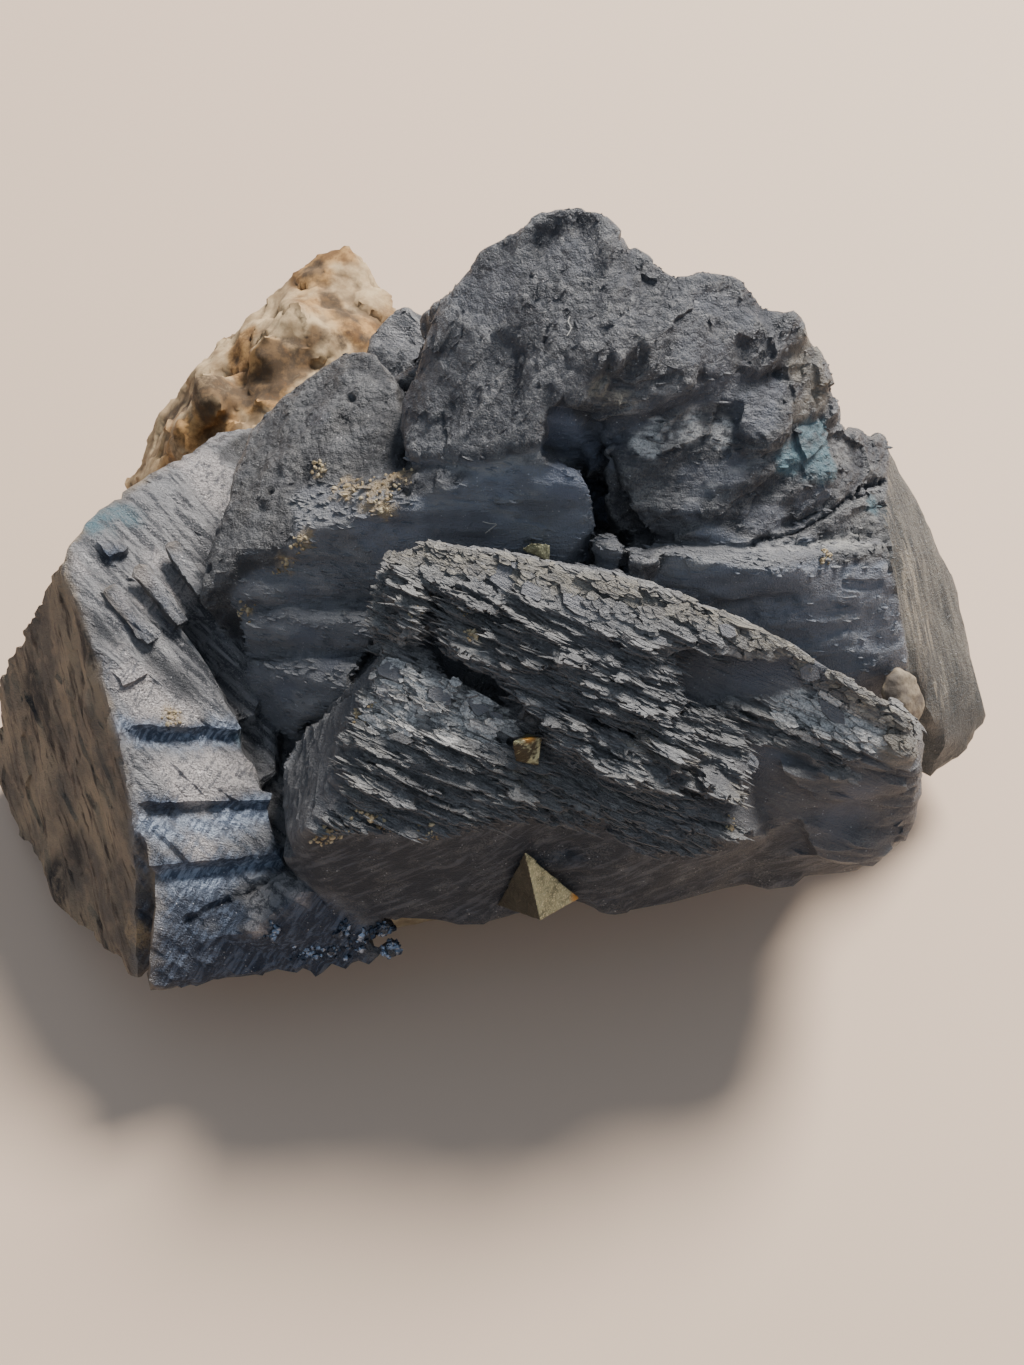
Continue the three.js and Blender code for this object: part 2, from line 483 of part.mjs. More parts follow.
const rearLayers = [
  ...ribs({
    frame: rearFrame, crystals: [rearPeak, rearShoulder, rearBlock, rearFoot], width: 2.1, rise: 0.5,
    lines: [
      [8.6, 7.6, 0.4, 7.2], [10.2, 5.4, 0.4, 4.4, 1.2], [10.8, 3.4, -0.4, 2.0, 1.2],
      [7.6, 1.2, -1.2, 0.0, 0.9],
      [12.8, -0.8, 2.0, -1.9, 1.3], [9.4, -3.2, 0.6, -3.8], [12.8, -5, 3.8, -5.8, 1.2],
      [13.4, -7.4, 6.2, -7.8, 0.9],
      [14.4, -9.8, 7.4, -9.6], [-0.4, 6.0, -5.6, 4.2, 0.9],
    ],
  }),
  ...ribs({
    frame: faceFrame([11, 10.6, 35.4], [28, 14.6, 34.6], [14.5, 17, 43.2]), crystals: [rearLower],
    width: 1.8, rise: 0.6,
    lines: [
      [-1, 2.2, 7, 1.4], [5, 3.4, 13, 4.6, 1.1], [-3, 4.8, 4, 6.6, 0.9], [9, 1.2, 17, 3.2, 0.9],
      [6, 7.6, 13, 6.8, 0.7], [0.6, 8.2, 4, 9.2, 0.6],
    ],
  }),
  ...ribs({
    frame: faceFrame([12, 7.2, 30], [28, 6.4, 27.4], [13, 8.8, 35]), crystals: [rearLedge],
    width: 1.8, rise: 0.45,
    lines: [[1, 2.6, 9, 2.2], [8, 0.4, 17, 1.0, 1.1], [10, -2.4, 20, -1.8], [3, -0.6, 9, -1.6, 0.8],
    [14, 3.4, 21, 3, 0.8]],
  }),
];
const rearMounds = mounds({
  frame: faceFrame([20, 20, 44], [26, 19.6, 40], [17, 24, 49.4]), crystals: [rearBlock, rearShoulder],
  rise: 0.18, seed: 149,
  spots: [[0.6, 0.6, 2.0], [2.6, -0.6, 1.8], [0.2, 3.2, 1.8], [-2.4, 1.8, 1.8], [-2.6, 4.4, 1.6],
  [3.6, 1.8, 1.4]],
});
// A smooth cleavage patch where the block meets the shoulder.
const cleavagePatch = [
  [19.8, 19.2, 44.4], [22.2, 19.8, 43.6], [21.4, 15.6, 41.0], [19, 14.9, 41.2], [17.4, 15.6, 42.2],
  [18, 17.2, 43.8],
  [20, 20, 40], [19, 17, 38], [22, 19, 39],
];
// Open cracks across the lower block.
const rearCracks = [
  [[26.6, 15.4, 36.4], [21.6, 11.2, 35.9], [18, 9.4, 35.2], [26.4, 14.2, 35.0], [21.6, 10.6, 35.0],
   [24, 14, 33.6]],
  [[31.6, 18.6, 34.2], [27.4, 15.2, 35.8], [31.4, 17.8, 33.2], [27.2, 14.4, 34.8], [28.6, 17.4, 33]],
];

// Side face on the right, crystal behind

const sideFace = [
  [27.6, 20.8, 37.4], [31.5, 22.5, 34.4], [32.5, 21.5, 31], [40, 18.5, 20], [44.5, 11, 9],
  [42.5, 8, 8], [39, 5.5, 7], [39, 6, 12], [32.8, 8.6, 25.6], [31.2, 13.4, 32.4],
  [28, 29, 20], [36, 27, 10], [42, 17, 5], [30, 10, 8],
];
const sideLayers = ribs({
  frame: faceFrame([38.6, 8, 13], [31.6, 17.6, 32.6], [42.6, 12.6, 12]), crystals: [sideFace],
  width: 1.3, rise: 0.35,
  lines: [[-3, 0, 14, 0.4], [2, 2.4, 20, 1.8], [-2, 4.4, 12, 3.6], [8, -1, 22, -0.4, 0.8]],
});
const smallCrystal = [
  [-13, 38.5, 30], [-11.5, 41, 31.2], [-10, 41.5, 32], [-8, 41, 31.2], [-6.5, 39.5, 30], [-7.5, 33.5, 28.5],
  [-15.5, 38, 16], [-12, 44, 15], [-5, 43, 15], [-4, 34, 18], [-14, 29, 24], [-6, 27, 22],
];

// Silvery stepped slab on the left

// Its rusty flat side falls to the left; the top edge of that side is the slab's sharp left edge.
const leftSide = [
  [-37.25, 11.75, 31], [-35.5, 8, 30.2], [-33.8, 4, 28.6], [-31.8, -1.5, 26.4], [-30.4, -6.8, 23],
  [-39.75, 12, 26.5], [-42.25, 12.25, 22], [-46.25, 12.75, 15.25], [-47.75, 12, 11.5],
  [-49.5, 9.5, 5], [-48.4, 4, 1.6], [-40.75, -6.25, 5], [-35.25, -12.75, 8], [-31, -16.4, 11],
  [-40, 18, 8], [-44, 16, 3], [-34, 14, 26], [-26, 8, 20], [-26, -6, 10], [-24, -12, 9.6], [-38, 4, 2],
];
const leftTop = [
  [-37.25, 11.75, 31], [-36.5, 13.5, 31.5], [-35, 17.5, 30.6], [-31.5, 21.5, 29.2], [-28, 26.5, 28.2],
  [-27.5, 30, 27], [-23.5, 31.5, 27], [-33.8, 4, 28.8], [-31.8, -1.4, 26.2], [-22, 1.0, 21.6],
  [-26, 2.6, 24], [-20, 14, 22], [-36, 14, 22], [-26, 30, 18], [-31, 0, 15], [-22, 2, 14], [-20, 26, 16],
];
const leftSteps = [
  [[-33, 4, 24.6], [-31.2, -2.8, 24.4], [-30.5, -6.7, 22.8], [-20, -4.3, 19], [-21.4, -0.2, 20.2],
   [-20, 6, 19], [-31, 3, 13], [-30, -6, 13], [-20, -4, 11], [-20, 3, 12]],
  [[-31, -3, 21.4], [-29.9, -8.2, 21.2], [-29.2, -10.8, 19.6], [-19, -8.3, 17], [-19.5, -4.7, 18],
   [-19, 1, 16], [-29.6, -10, 11], [-19, -8, 10], [-28, 0, 12], [-18, 0, 11]],
  [[-29.4, -9, 18.2], [-29, -11.8, 18], [-28.9, -15, 16.2], [-29.5, -18.3, 13], [-25.5, -16.8, 11.9],
   [-21.7, -15.8, 11], [-15.4, -14.9, 10.4], [-11, -14, 10], [-17, -9, 15], [-18.8, -9, 15.6],
   [-28.6, -17.6, 10.8], [-16, -13, 9.6], [-17, -3, 10], [-28, -4, 10]],
];
// Cleavage bands that cross the top of the slab.
const leftBands = [
  [[-34.2, 9.3, 30.4], [-32.8, 10.4, 30.4], [-28.4, 6.2, 27.7], [-29.8, 5.1, 27.7], [-31, 8, 26]],
  [[-31.9, 11.6, 30.3], [-30.4, 12.6, 30.1], [-26.6, 8.2, 27.1], [-27.8, 7.2, 27.2], [-29, 10, 25]],
  [[-29.8, 14.6, 29.8], [-28.4, 15.6, 29.6], [-25.2, 11.2, 27.3], [-26.4, 10.2, 27.5], [-27, 13, 25]],
  [[-35.4, 14.4, 31.3], [-33.6, 15.6, 31.0], [-31.6, 13.6, 30.3], [-33.6, 12.4, 30.5], [-33, 14, 27]],
  [[-33.4, 4.6, 28.9], [-31.6, 5.8, 28.7], [-29.4, 3.0, 27.0], [-31.4, 1.4, 27.4], [-31, 4, 25]],
];
const leftWedge = [
  [-25.8, -13.8, 13.4], [-18.8, -9.6, 17], [-16.8, -12, 18], [-21.5, -15.2, 16.4], [-9.5, -12.6, 12],
  [-15.3, -14.4, 12], [-10.5, -9, 11], [-22, -15.4, 11.6], [-16, -14, 10], [-20, -8, 11],
];
const leftLayers = [
  ...ribs({
    frame: faceFrame([-29, -12, 17.4], [-19, -10, 15.2],
    [-26, -10, 18]), crystals: leftSteps, width: 1.6, rise: 0.25,
    lines: [[0, -1.6, 9, -2.2], [1, -3.6, 8, -4], [0, -5.6, 7, -5.4, 0.8]],
  }),
  ...ribs({
    frame: faceFrame([-30.4, -6.4, 22.6], [-20, -4.2, 19],
    [-31.2, -2.8, 24.4]), crystals: leftSteps, width: 1.7, rise: 0.22,
    lines: [[1, 1.0, 9, 1.4], [2, 3.0, 10, 3.2]],
  }),
  ...ribs({
    frame: faceFrame([-33, 6, 28.6], [-25, 3.6, 24.6], [-30, 21, 29]), crystals: [leftTop],
    width: 2, rise: 0.4,
    lines: [[-2, 12, 4, 8], [1, 15, 6, 11], [-3, 17, 1, 15], [4, 18, 8, 14], [1, 22, 6, 20], [4, 25, 8, 22]],
  }),
];
// Row of small beads along the slab's lower right edge.
const leftBeads = [
  [-20.6, -15.4, 10.6, 1.0], [-18.6, -15.2, 10.4, 1.2], [-16.4, -15.0, 10.0, 1.3], [-14.2, -14.6, 9.8, 1.2],
  [-12.2, -14.2, 9.8, 1.1], [-10.4, -13.6, 10.4, 1.1], [-15.2, -14.2, 11.2, 1.0], [-12.8, -13.6, 11.4, 0.9],
];

// Iron-stained rock

const rockBack = [
  [-42, 43.5, 6], [-38.5, 44, 10], [-37, 46, 12], [-35, 48, 15], [-32, 51, 18], [-28, 52, 21],
  [-25, 54, 22], [-23, 56.5, 23], [-20, 58.5, 24], [-17, 59.5, 24.5], [-15.5, 58.5, 24], [-15, 56, 23],
  [-12, 53.5, 22], [-10, 48, 20], [-34, 34, 16], [-24, 34, 22], [-12, 36, 20],
  [-40, 42, 1], [-16, 57, 8], [-8, 48, 6], [-8, 34, 4], [-36, 30, 2],
];
const rockLumps = [
  [[-41, 22, 7], [-31, 24, 15], [-22, 28, 16], [-19, 36, 13], [-34, 37, 12], [-40, 31, 9], [-30, 30, 2]],
  [[-36, 40, 14], [-32, 44, 19], [-27, 45, 21], [-28, 38, 22], [-34, 36, 18], [-30, 41, 23.5], [-32, 40, 8]],
  [[-27, 47, 21], [-22, 52, 24], [-18, 50, 24], [-19, 44, 23], [-25, 43, 24], [-22, 48, 26.5], [-22, 47, 10]],
  [[-40, 36, 6], [-38, 41, 10], [-33, 40, 13], [-32, 33, 12], [-37, 31, 9], [-34, 36, 2]],
  [[-18, 42, 21], [-14, 48, 23], [-10, 46, 20], [-11, 40, 19], [-15, 38, 21], [-14, 43, 8]],
  [[30, 26, 10], [38, 24, 9], [41, 18, 7], [38, 30, 6], [31, 33, 8], [33, 27, 1]],
  [[-3, 38, 24], [4, 38, 27], [12, 37, 25], [16, 40, 14], [6, 46, 13], [-4, 45, 15], [2, 43, 21], [4, 34, 6]],
  [[14, 34, 28], [21, 33, 27], [27, 31, 21], [28, 35, 9], [18, 40, 8], [13, 39, 19], [20, 37, 20],
   [20, 28, 8]],
  [[26, 28, 21], [33, 28, 18], [37, 25, 12], [37, 28, 4], [28, 35, 5], [30, 31, 15], [28, 22, 4]],
];
const rockBase = [
  [-36, -4, 0], [-30, -9, 0], [-22, -9.5, 0], [-4, -4, 0], [18, 0, 0], [34, 6, 0], [40, 14, 0],
  [34, 30, 0], [12, 42, 0], [-14, 53, 0], [-36, 44, 0], [-41, 30, 0], [-40, 12, 0],
  [-38, -6, 3], [-30, -11, 6], [-6, -6, 9], [18, -1, 9], [34, 5, 8], [41, 14, 6],
  [34, 31, 8], [12, 40, 14], [-14, 52, 14], [-38, 42, 8], [-42, 26, 6], [-42, 14, 4],
  [-30, 0, 16], [0, 4, 18], [24, 12, 18],
];
const rockMounds = [
  ...mounds({
    frame: faceFrame([-34, 42, 14], [-20, 40, 22], [-26, 53, 21]), crystals: [rockBack, ...rockLumps],
    rise: 0.26, seed: 137,
    spots: [
      [0, 1, 3], [4, 6, 3.4], [8, 0, 3], [9, 9, 3.2], [13, 4, 3.4], [14, 12, 2.8], [18, 8, 3],
      [4, -4, 2.6], [17, 1, 2.6],
    ],
  }),
  ...mounds({
    frame: faceFrame([-30, 52, 4], [-6, 52, 3], [-24, 52, 16]), crystals: [rockBack, rockBase],
    rise: 0.26, seed: 139,
    spots: [[2, 6, 3.4], [9, 10, 3.6], [14, 4, 3.2], [18, 9, 3]],
  }),
];

// Accessory crystals

const frontTetrahedron = [[1, -11.75, 24], [5.5, -12, 16.5], [2.25, -15, 18.5], [-1.25, -12, 15.25]];
const middleTetrahedron = [
  [0, -7.75, 33.5], [2.25, -7.25, 33.25], [2, -8.5, 31.25], [0.25, -8.25, 31.5], [1.2, -5.8, 31.6],
];
const rearTetrahedron = [[0.75, 7.75, 37], [1.5, 8, 37.5], [3, 8.25, 37], [3, 7.5, 35.75], [1.8, 10.2, 34]];
const tanKnob = [
  [30.6, 3.4, 24], [32, 4.8, 25.2], [34, 5, 23.8], [35.4, 4.2, 20.6], [34.4, 2.4, 19.4], [32.6, 2.2, 20],
  [31.2, 2.6, 21.6], [33.4, 6.6, 20.4], [32.4, 6.2, 23.6], [33, 2.2, 22.6],
];

// Assembly

const sphaleriteCrystals = [
  ...frontGround, ...frontLayers, lowerSlab, lowerUnderside, ...lowerPlates, ...lowerLayers,
  rightLobe, rightShell, ...rightShelves, middleBlock, ...lowerKnobs, ...rightLayers,
  middleLobe, middleWedge, ...middleSteps, frontRoot, creviceFloor, leftCreviceFloor,
  ...middleLayers,
  rearPeak, rearFoot, rearShoulder, rearBlock, rearShadowFace, rearLower, rearLedge, ...backKnobs, ...rearBreaks, ...rearLayers,
  ...rearMounds, cleavagePatch,
  sideFace, ...sideLayers, smallCrystal,
  leftSide, leftTop, ...leftSteps, ...leftBands, leftWedge, ...leftLayers,
  ...leftBeads.map(lump),
];

// The groups of crystals that sit in the rock, each as one outline.
const rockContacts = [
  [...lowerUnderside, ...middleBlock, ...rightLobe, ...frontRoot, ...rearLedge],
  [...middleLobe, ...middleSteps.flat(), ...middleWedge, ...creviceFloor],
  [...rearPeak, ...rearShoulder, ...rearBlock, ...rearLower], ...rearBreaks,
  [...sideFace, ...rearLedge],
  leftSide, leftTop, leftSteps.flat(), leftWedge, leftCreviceFloor, smallCrystal,
];

const accessories = [
  ["chalcopyrite_front", frontTetrahedron, 0x6f6235],
  ["chalcopyrite_middle", middleTetrahedron, 0x7d6f3c],
  ["chalcopyrite_rear", rearTetrahedron, 0x6d6a2e],
  ["siderite_knob", tanKnob, 0x8a7558],
];

let sphalerite = withoutHollows(joined(sphaleriteCrystals.map(crystal)));
for (const corners of [...middlePits.map(lump),
...rearCracks]) sphalerite = sphalerite.subtract(crystal(corners));
for (const [, corners] of accessories) sphalerite = sphalerite.subtract(crystalWithRoom(corners, clearance));

let rock = joined([rockBack, rockBase, ...rockLumps, ...rockMounds].map(crystal));
for (const corners of rockContacts) rock = rock.subtract(crystalWithRoom(corners, clearance));
rock = withoutHollows(rock);

const specimen = new THREE.Group();
specimen.name = "sphalerite_specimen";
specimen.add(meshOf(sphalerite, "sphalerite_cluster", 0x34343a, 0.45, 0.25));
specimen.add(meshOf(rock, "matrix", 0x7a5f3f, 0.9, 0.0));
for (const [name, corners, color] of accessories) {
  const brassy = name.startsWith("chalcopyrite");
  specimen.add(meshOf(crystal(corners), name, color, brassy ? 0.4 : 0.85, brassy ? 0.7 : 0));
}

export default specimen;
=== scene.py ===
import bpy
import bmesh
import numpy as np
from math import radians
from mathutils import Matrix, Vector
from mathutils.bvhtree import BVHTree


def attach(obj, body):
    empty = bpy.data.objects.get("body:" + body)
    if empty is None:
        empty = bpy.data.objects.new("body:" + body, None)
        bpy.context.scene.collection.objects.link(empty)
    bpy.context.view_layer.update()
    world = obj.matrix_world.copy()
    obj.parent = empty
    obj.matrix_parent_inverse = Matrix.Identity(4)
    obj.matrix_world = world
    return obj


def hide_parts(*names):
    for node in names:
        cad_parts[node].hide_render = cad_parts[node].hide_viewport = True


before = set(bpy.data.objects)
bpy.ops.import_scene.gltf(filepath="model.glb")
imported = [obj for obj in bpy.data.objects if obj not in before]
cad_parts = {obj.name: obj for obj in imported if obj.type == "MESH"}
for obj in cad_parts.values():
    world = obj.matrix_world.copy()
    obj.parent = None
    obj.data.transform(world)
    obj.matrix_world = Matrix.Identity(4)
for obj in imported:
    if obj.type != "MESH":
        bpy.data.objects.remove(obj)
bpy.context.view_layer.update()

# Rock matrix
# Iron-stained carbonate rock that the crystals grew on: dull, crumbly, ochre with dark brown patches.
# It was broken out of the vein and trimmed flat below, so that the specimen rests on it.

MILLIMETRE = 0.001
WELD = 0.001
ROCK_GRID = 0.42
ROCK_LUMP_SIZE = 5.0
ROCK_LUMP_RISE = 0.8
ROCK_GRAIN_SIZE = 1.5
ROCK_GRAIN_RISE = 0.3
ROCK_BLOCK_SIZE = 3.2
ROCK_BLOCK_RISE = 0.7
ROCK_TRIANGLES = 110000

CAMERA_PLACE = (0, -0.06768, 0.12666)
CAMERA_TILT = 35
PHOTO_WIDTH = 1024
PHOTO_HEIGHT = 1365
FOCAL_PIXELS = 1500
view = Matrix.Rotation(radians(CAMERA_TILT), 3, "X")
eye = Vector(CAMERA_PLACE) / MILLIMETRE


def solid_in_mm(node):
    """The node's closed surface in millimetres, its doubled corners merged."""
    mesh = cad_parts[node].data.copy()
    mesh.materials.clear()
    mesh.transform(Matrix.Scale(1 / MILLIMETRE, 4))
    corners = bmesh.new()
    corners.from_mesh(mesh)
    bmesh.ops.remove_doubles(corners, verts=corners.verts, dist=WELD)
    corners.to_mesh(mesh)
    corners.free()
    return mesh


def placed(name, data):
    """A new object of the scene with this mesh, lamp or camera."""
    thing = bpy.data.objects.new(name, data)
    bpy.context.scene.collection.objects.link(thing)
    return thing


def after_modifier(mesh, kind, group=None, **settings):
    """The mesh as one applied modifier leaves it."""
    carrier = placed("carrier", mesh)
    if group is not None:
        weights = carrier.vertex_groups.new(name="weights")
        for level in np.unique(group):
            weights.add(np.flatnonzero(group == level).tolist(), float(level), "REPLACE")
        settings["vertex_group"] = "weights"
    modifier = carrier.modifiers.new(kind, kind)
    for name, value in settings.items():
        setattr(modifier, name, value)
    graph = bpy.context.evaluated_depsgraph_get()
    made = bpy.data.meshes.new_from_object(carrier.evaluated_get(graph))
    bpy.data.objects.remove(carrier)
    return made


def points_of(mesh):
    flat = np.empty(len(mesh.vertices) * 3, np.float32)
    mesh.vertices.foreach_get("co", flat)
    return flat.reshape(-1, 3).astype(float)


def normals_of(mesh):
    flat = np.empty(len(mesh.vertices) * 3, np.float32)
    mesh.vertex_normals.foreach_get("vector", flat)
    return flat.reshape(-1, 3).astype(float)


def edges_of(mesh):
    flat = np.empty(len(mesh.edges) * 2, np.int32)
    mesh.edges.foreach_get("vertices", flat)
    return flat.reshape(-1, 2)


def move_points(mesh, points):
    mesh.vertices.foreach_set("co", points.astype(np.float32).ravel())
    mesh.update()


def spread(values, edges, rounds):
    """Each value shared with its neighbours on the surface, over and over."""
    columns = values.reshape(len(values), -1).astype(float)
    near, far = edges[:, 0], edges[:, 1]
    count = np.bincount(near, minlength=len(columns)) + np.bincount(far, minlength=len(columns)) + 1.0
    for _ in range(rounds):
        total = columns.copy()
        for k in range(columns.shape[1]):
            total[:, k] += np.bincount(near, columns[far, k], len(columns))
            total[:, k] += np.bincount(far, columns[near, k], len(columns))
        columns = total / count[:, None]
    return columns.reshape(values.shape)


def chance(cells, seed):
    """A repeatable number from 0 to 1 for each whole-number cell."""
    mixed = cells[:, 0] * 73856093 ^ cells[:, 1] * 19349663 ^ cells[:, 2] * 83492791 ^ seed * 40503
    mixed = (mixed ^ (mixed >> 13)) * 1274126177
    mixed = (mixed ^ (mixed >> 16)) * 668265263
    return ((mixed >> 11) & 0xFFFF) / 65535.0


def noise(points, size, seed):
    """Smooth noise from -1 to 1, with bumps of that size along each axis."""
    scaled = points / size
    whole = np.floor(scaled).astype(np.int64)
    part = scaled - whole
    ease = part * part * (3 - 2 * part)
    total = np.zeros(len(points))
    for corner in np.ndindex(2, 2, 2):
        weight = np.ones(len(points))
        for k in range(3):
            weight *= ease[:, k] if corner[k] else 1 - ease[:, k]
        total += weight * chance(whole + np.array(corner), seed)
    return total * 2 - 1


def rough(points, size, seed, octaves=3):
    """Noise with finer noise on it, from about -1 to 1."""
    total = np.zeros(len(points))
    size = np.asarray(size, float)
    for k in range(octaves):
        total += noise(points, size / 2 ** k, seed + 31 * k) / 2 ** k
    return total / (2 - 0.5 ** (octaves - 1))


def cells(points, size, seed):
    """Distance to the nearest of scattered points, in cell sizes, and that point's chance number."""
    scaled = points / size
    whole = np.floor(scaled).astype(np.int64)
    nearest = np.full(len(points), 9.0)
    owner = np.zeros(len(points))
    for step in np.ndindex(3, 3, 3):
        cell = whole + np.array(step) - 1
        centre = cell + np.stack([chance(cell, seed + k) for k in range(3)], axis=1)
        gap = np.linalg.norm(centre - scaled, axis=1)
        closer = gap < nearest
        nearest[closer] = gap[closer]
        owner[closer] = chance(cell[closer], seed + 7)
    return nearest, owner


def smooth_step(values, low, high):
    part = np.clip((values - low) / (high - low), 0, 1)
    return part * part * (3 - 2 * part)


def tree_of(mesh):
    corners = [corner.co for corner in mesh.vertices]
    return BVHTree.FromPolygons(corners, [face.vertices for face in mesh.polygons])


def seen_on(tree, x, y):
    """The place on a solid that the photograph shows at this pixel, and its direction out."""
    way = view @ Vector((x - PHOTO_WIDTH / 2, PHOTO_HEIGHT / 2 - y, -FOCAL_PIXELS))
    place, out, face, gap = tree.ray_cast(eye, way.normalized())
    if place is None:
        raise ValueError(f"the solid isn't seen at {x}, {y}")
    return np.array(place), np.array(out)


def patches_on(tree, points, spots, raggedness=0.5, size=0.9, seed=301):
    """A mask of 1 within each spot's radius in mm round its pixel, with a ragged border."""
    mask = np.zeros(len(points))
    for x, y, radius in spots:
        place, out = seen_on(tree, x, y)
        close = np.flatnonzero(((points - place) ** 2).sum(axis=1) < (radius * 2) ** 2)
        gap = np.linalg.norm(points[close] - place, axis=1) / radius
        gap += raggedness * rough(points[close], size, seed)
        mask[close] = np.maximum(mask[close], smooth_step(gap, 1.1, 0.75))
    return mask


def give_attribute(mesh, name, values):
    attribute = mesh.attributes.new(name, "FLOAT", "POINT")
    attribute.data.foreach_set("value", values.astype(np.float32))


def finished_piece(mesh, name, node, material, sharp_angle):
    """The visible piece, back in metres, standing for its CAD node."""
    mesh.transform(Matrix.Scale(MILLIMETRE, 4))
    mesh.shade_smooth()
    mesh.set_sharp_from_angle(angle=radians(sharp_angle))
    mesh.materials.append(material)
    piece = placed(name, mesh)
    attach(piece, "root")
    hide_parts(node)
    return piece


def new_material(name):
    """An empty material, its Principled shader and a function that adds linked nodes."""
    material = bpy.data.materials.new(name)
    material.use_nodes = True
    return material, material.node_tree.nodes["Principled BSDF"], wired(material.node_tree)


def wired(tree):
    """A function that adds a node to the tree: its settings, then its inputs by name or number."""

    def add(kind, settings=None, **inputs):
        node = tree.nodes.new(kind)
        for key, value in (settings or {}).items():
            setattr(node, key, value)
        for key, value in inputs.items():
            socket = node.inputs[int(key[1:])] if key[0] == "_" else node.inputs[key.replace("_", " ")]
            if isinstance(value, bpy.types.NodeSocket):
                tree.links.new(value, socket)
            else:
                socket.default_value = value
        return node

    return add


def mix_colour(add, mask, first, second):
    """First colour where the mask is 0, second where it is 1."""
    node = add("ShaderNodeMix", {"data_type": "RGBA"})
    tree = node.id_data
    for socket, value in ((node.inputs[0], mask), (node.inputs[6], first), (node.inputs[7], second)):
        if isinstance(value, bpy.types.NodeSocket):
            tree.links.new(value, socket)
        elif isinstance(value, (int, float)):
            socket.default_value = value
        else:
            socket.default_value = (*value, 1)
    return node.outputs[2]


def remap(add, value, low, high, start=0.0, end=1.0):
    node = add("ShaderNodeMapRange", {"interpolation_type": "SMOOTHSTEP"}, Value=value)
    for key, number in (("From Min", low), ("From Max", high), ("To Min", start), ("To Max", end)):
        node.inputs[key].default_value = number
    return node.outputs["Result"]


def calculate(add, operation, first, second=0.0):
    return add("ShaderNodeMath", {"operation": operation, "use_clamp": False}, _0=first, _1=second).outputs[0]


def times(add, first, second):
    return calculate(add, "MULTIPLY", first, second)


def attribute(add, name):
    return add("ShaderNodeAttribute", {"attribute_name": name}).outputs["Fac"]


def marked(add, colour, mark, other, part=None):
    """The other colour where the surface carries this mark, or on that part of it."""
    mask = attribute(add, mark)
    return mix_colour(add, mask if part is None else times(add, mask, part), colour, other)


def surface_noise(add, scale, detail=5.0, roughness=0.6):
    """Noise fixed to the piece, with so many bumps to a metre."""
    place = add("ShaderNodeTexCoord").outputs["Object"]
    node = add("ShaderNodeTexNoise", Vector=place, Scale=scale, Detail=detail, Roughness=roughness)
    return node.outputs["Fac"]


def bumpy(add, shader, height, strength, distance):
    """Fine relief on the shader's normal."""
    bump = add("ShaderNodeBump", Strength=strength, Distance=distance, Height=height)
    feed(shader, "Normal", bump.outputs["Normal"])


def feed(shader, name, value):
    shader.id_data.links.new(value, shader.inputs[name])


cad_rock = solid_in_mm("matrix")
rock_tree = tree_of(cad_rock)
crystal_tree = tree_of(solid_in_mm("sphalerite_cluster"))
rock = after_modifier(cad_rock, "REMESH", mode="VOXEL", voxel_size=ROCK_GRID)
rock_points = points_of(rock)
rock_normals = normals_of(rock)
rock_edges = edges_of(rock)
resting = smooth_step(rock_points[:, 2], 0.05, 1.5)
lumps = rough(rock_points, ROCK_LUMP_SIZE, 11, 3)
grain = rough(rock_points, ROCK_GRAIN_SIZE, 17)
gap, owner = cells(rock_points, ROCK_BLOCK_SIZE, 19)
rise = ROCK_LUMP_RISE * lumps + ROCK_GRAIN_RISE * grain + ROCK_BLOCK_RISE * (owner - 0.5)
rock_points = rock_points + rock_normals * (rise * resting)[:, None]
rock_points[:, 2] = np.maximum(rock_points[:, 2], 0)
move_points(rock, rock_points)
# painted shade: the rock's hollows are measured here and coloured darker brown below
rock_hollow = ((spread(rock_points, rock_edges, 4) - rock_points) * rock_normals).sum(axis=1)
give_attribute(rock, "hollow", np.clip(0.5 + rock_hollow * 5, 0, 1))
BROWN_SPOTS = [
    (205, 385, 2.6), (190, 402, 2.2), (272, 380, 2.4), (290, 360, 2.2), (250, 395, 2.0), (225, 400, 1.8),
    (316, 272, 1.6), (330, 302, 1.5), (350, 318, 1.6), (316, 335, 1.4), (170, 415, 1.8), (265, 350, 1.5),
]
ORANGE_SPOTS = [
    (245, 365, 3.2), (270, 365, 2.8), (262, 395, 2.4), (215, 425, 2.5), (312, 266, 3.0), (328, 258, 2.4),
    (240, 342, 2.2), (180, 430, 2.0),
]
to_crystal = np.array([crystal_tree.find_nearest(Vector(place))[3] for place in rock_points])
give_attribute(rock, "brown", patches_on(rock_tree, rock_points, BROWN_SPOTS, 0.9, 2.0, 23))
give_attribute(rock, "orange", patches_on(rock_tree, rock_points, ORANGE_SPOTS, 0.9, 2.4, 25))
# partly real stain, partly painted shade: the rock is darkened near the crystals, and further under the front
# overhang
shade_and_stain_reach = np.where(rock_points[:, 1] < 0, 5.0, 1.7)
give_attribute(rock, "contact", smooth_step(to_crystal + 0.8 * rough(rock_points, 1.4, 27), shade_and_stain_reach, 0.5))
rock = after_modifier(rock, "DECIMATE", ratio=min(1, ROCK_TRIANGLES / (2 * len(rock.polygons))))

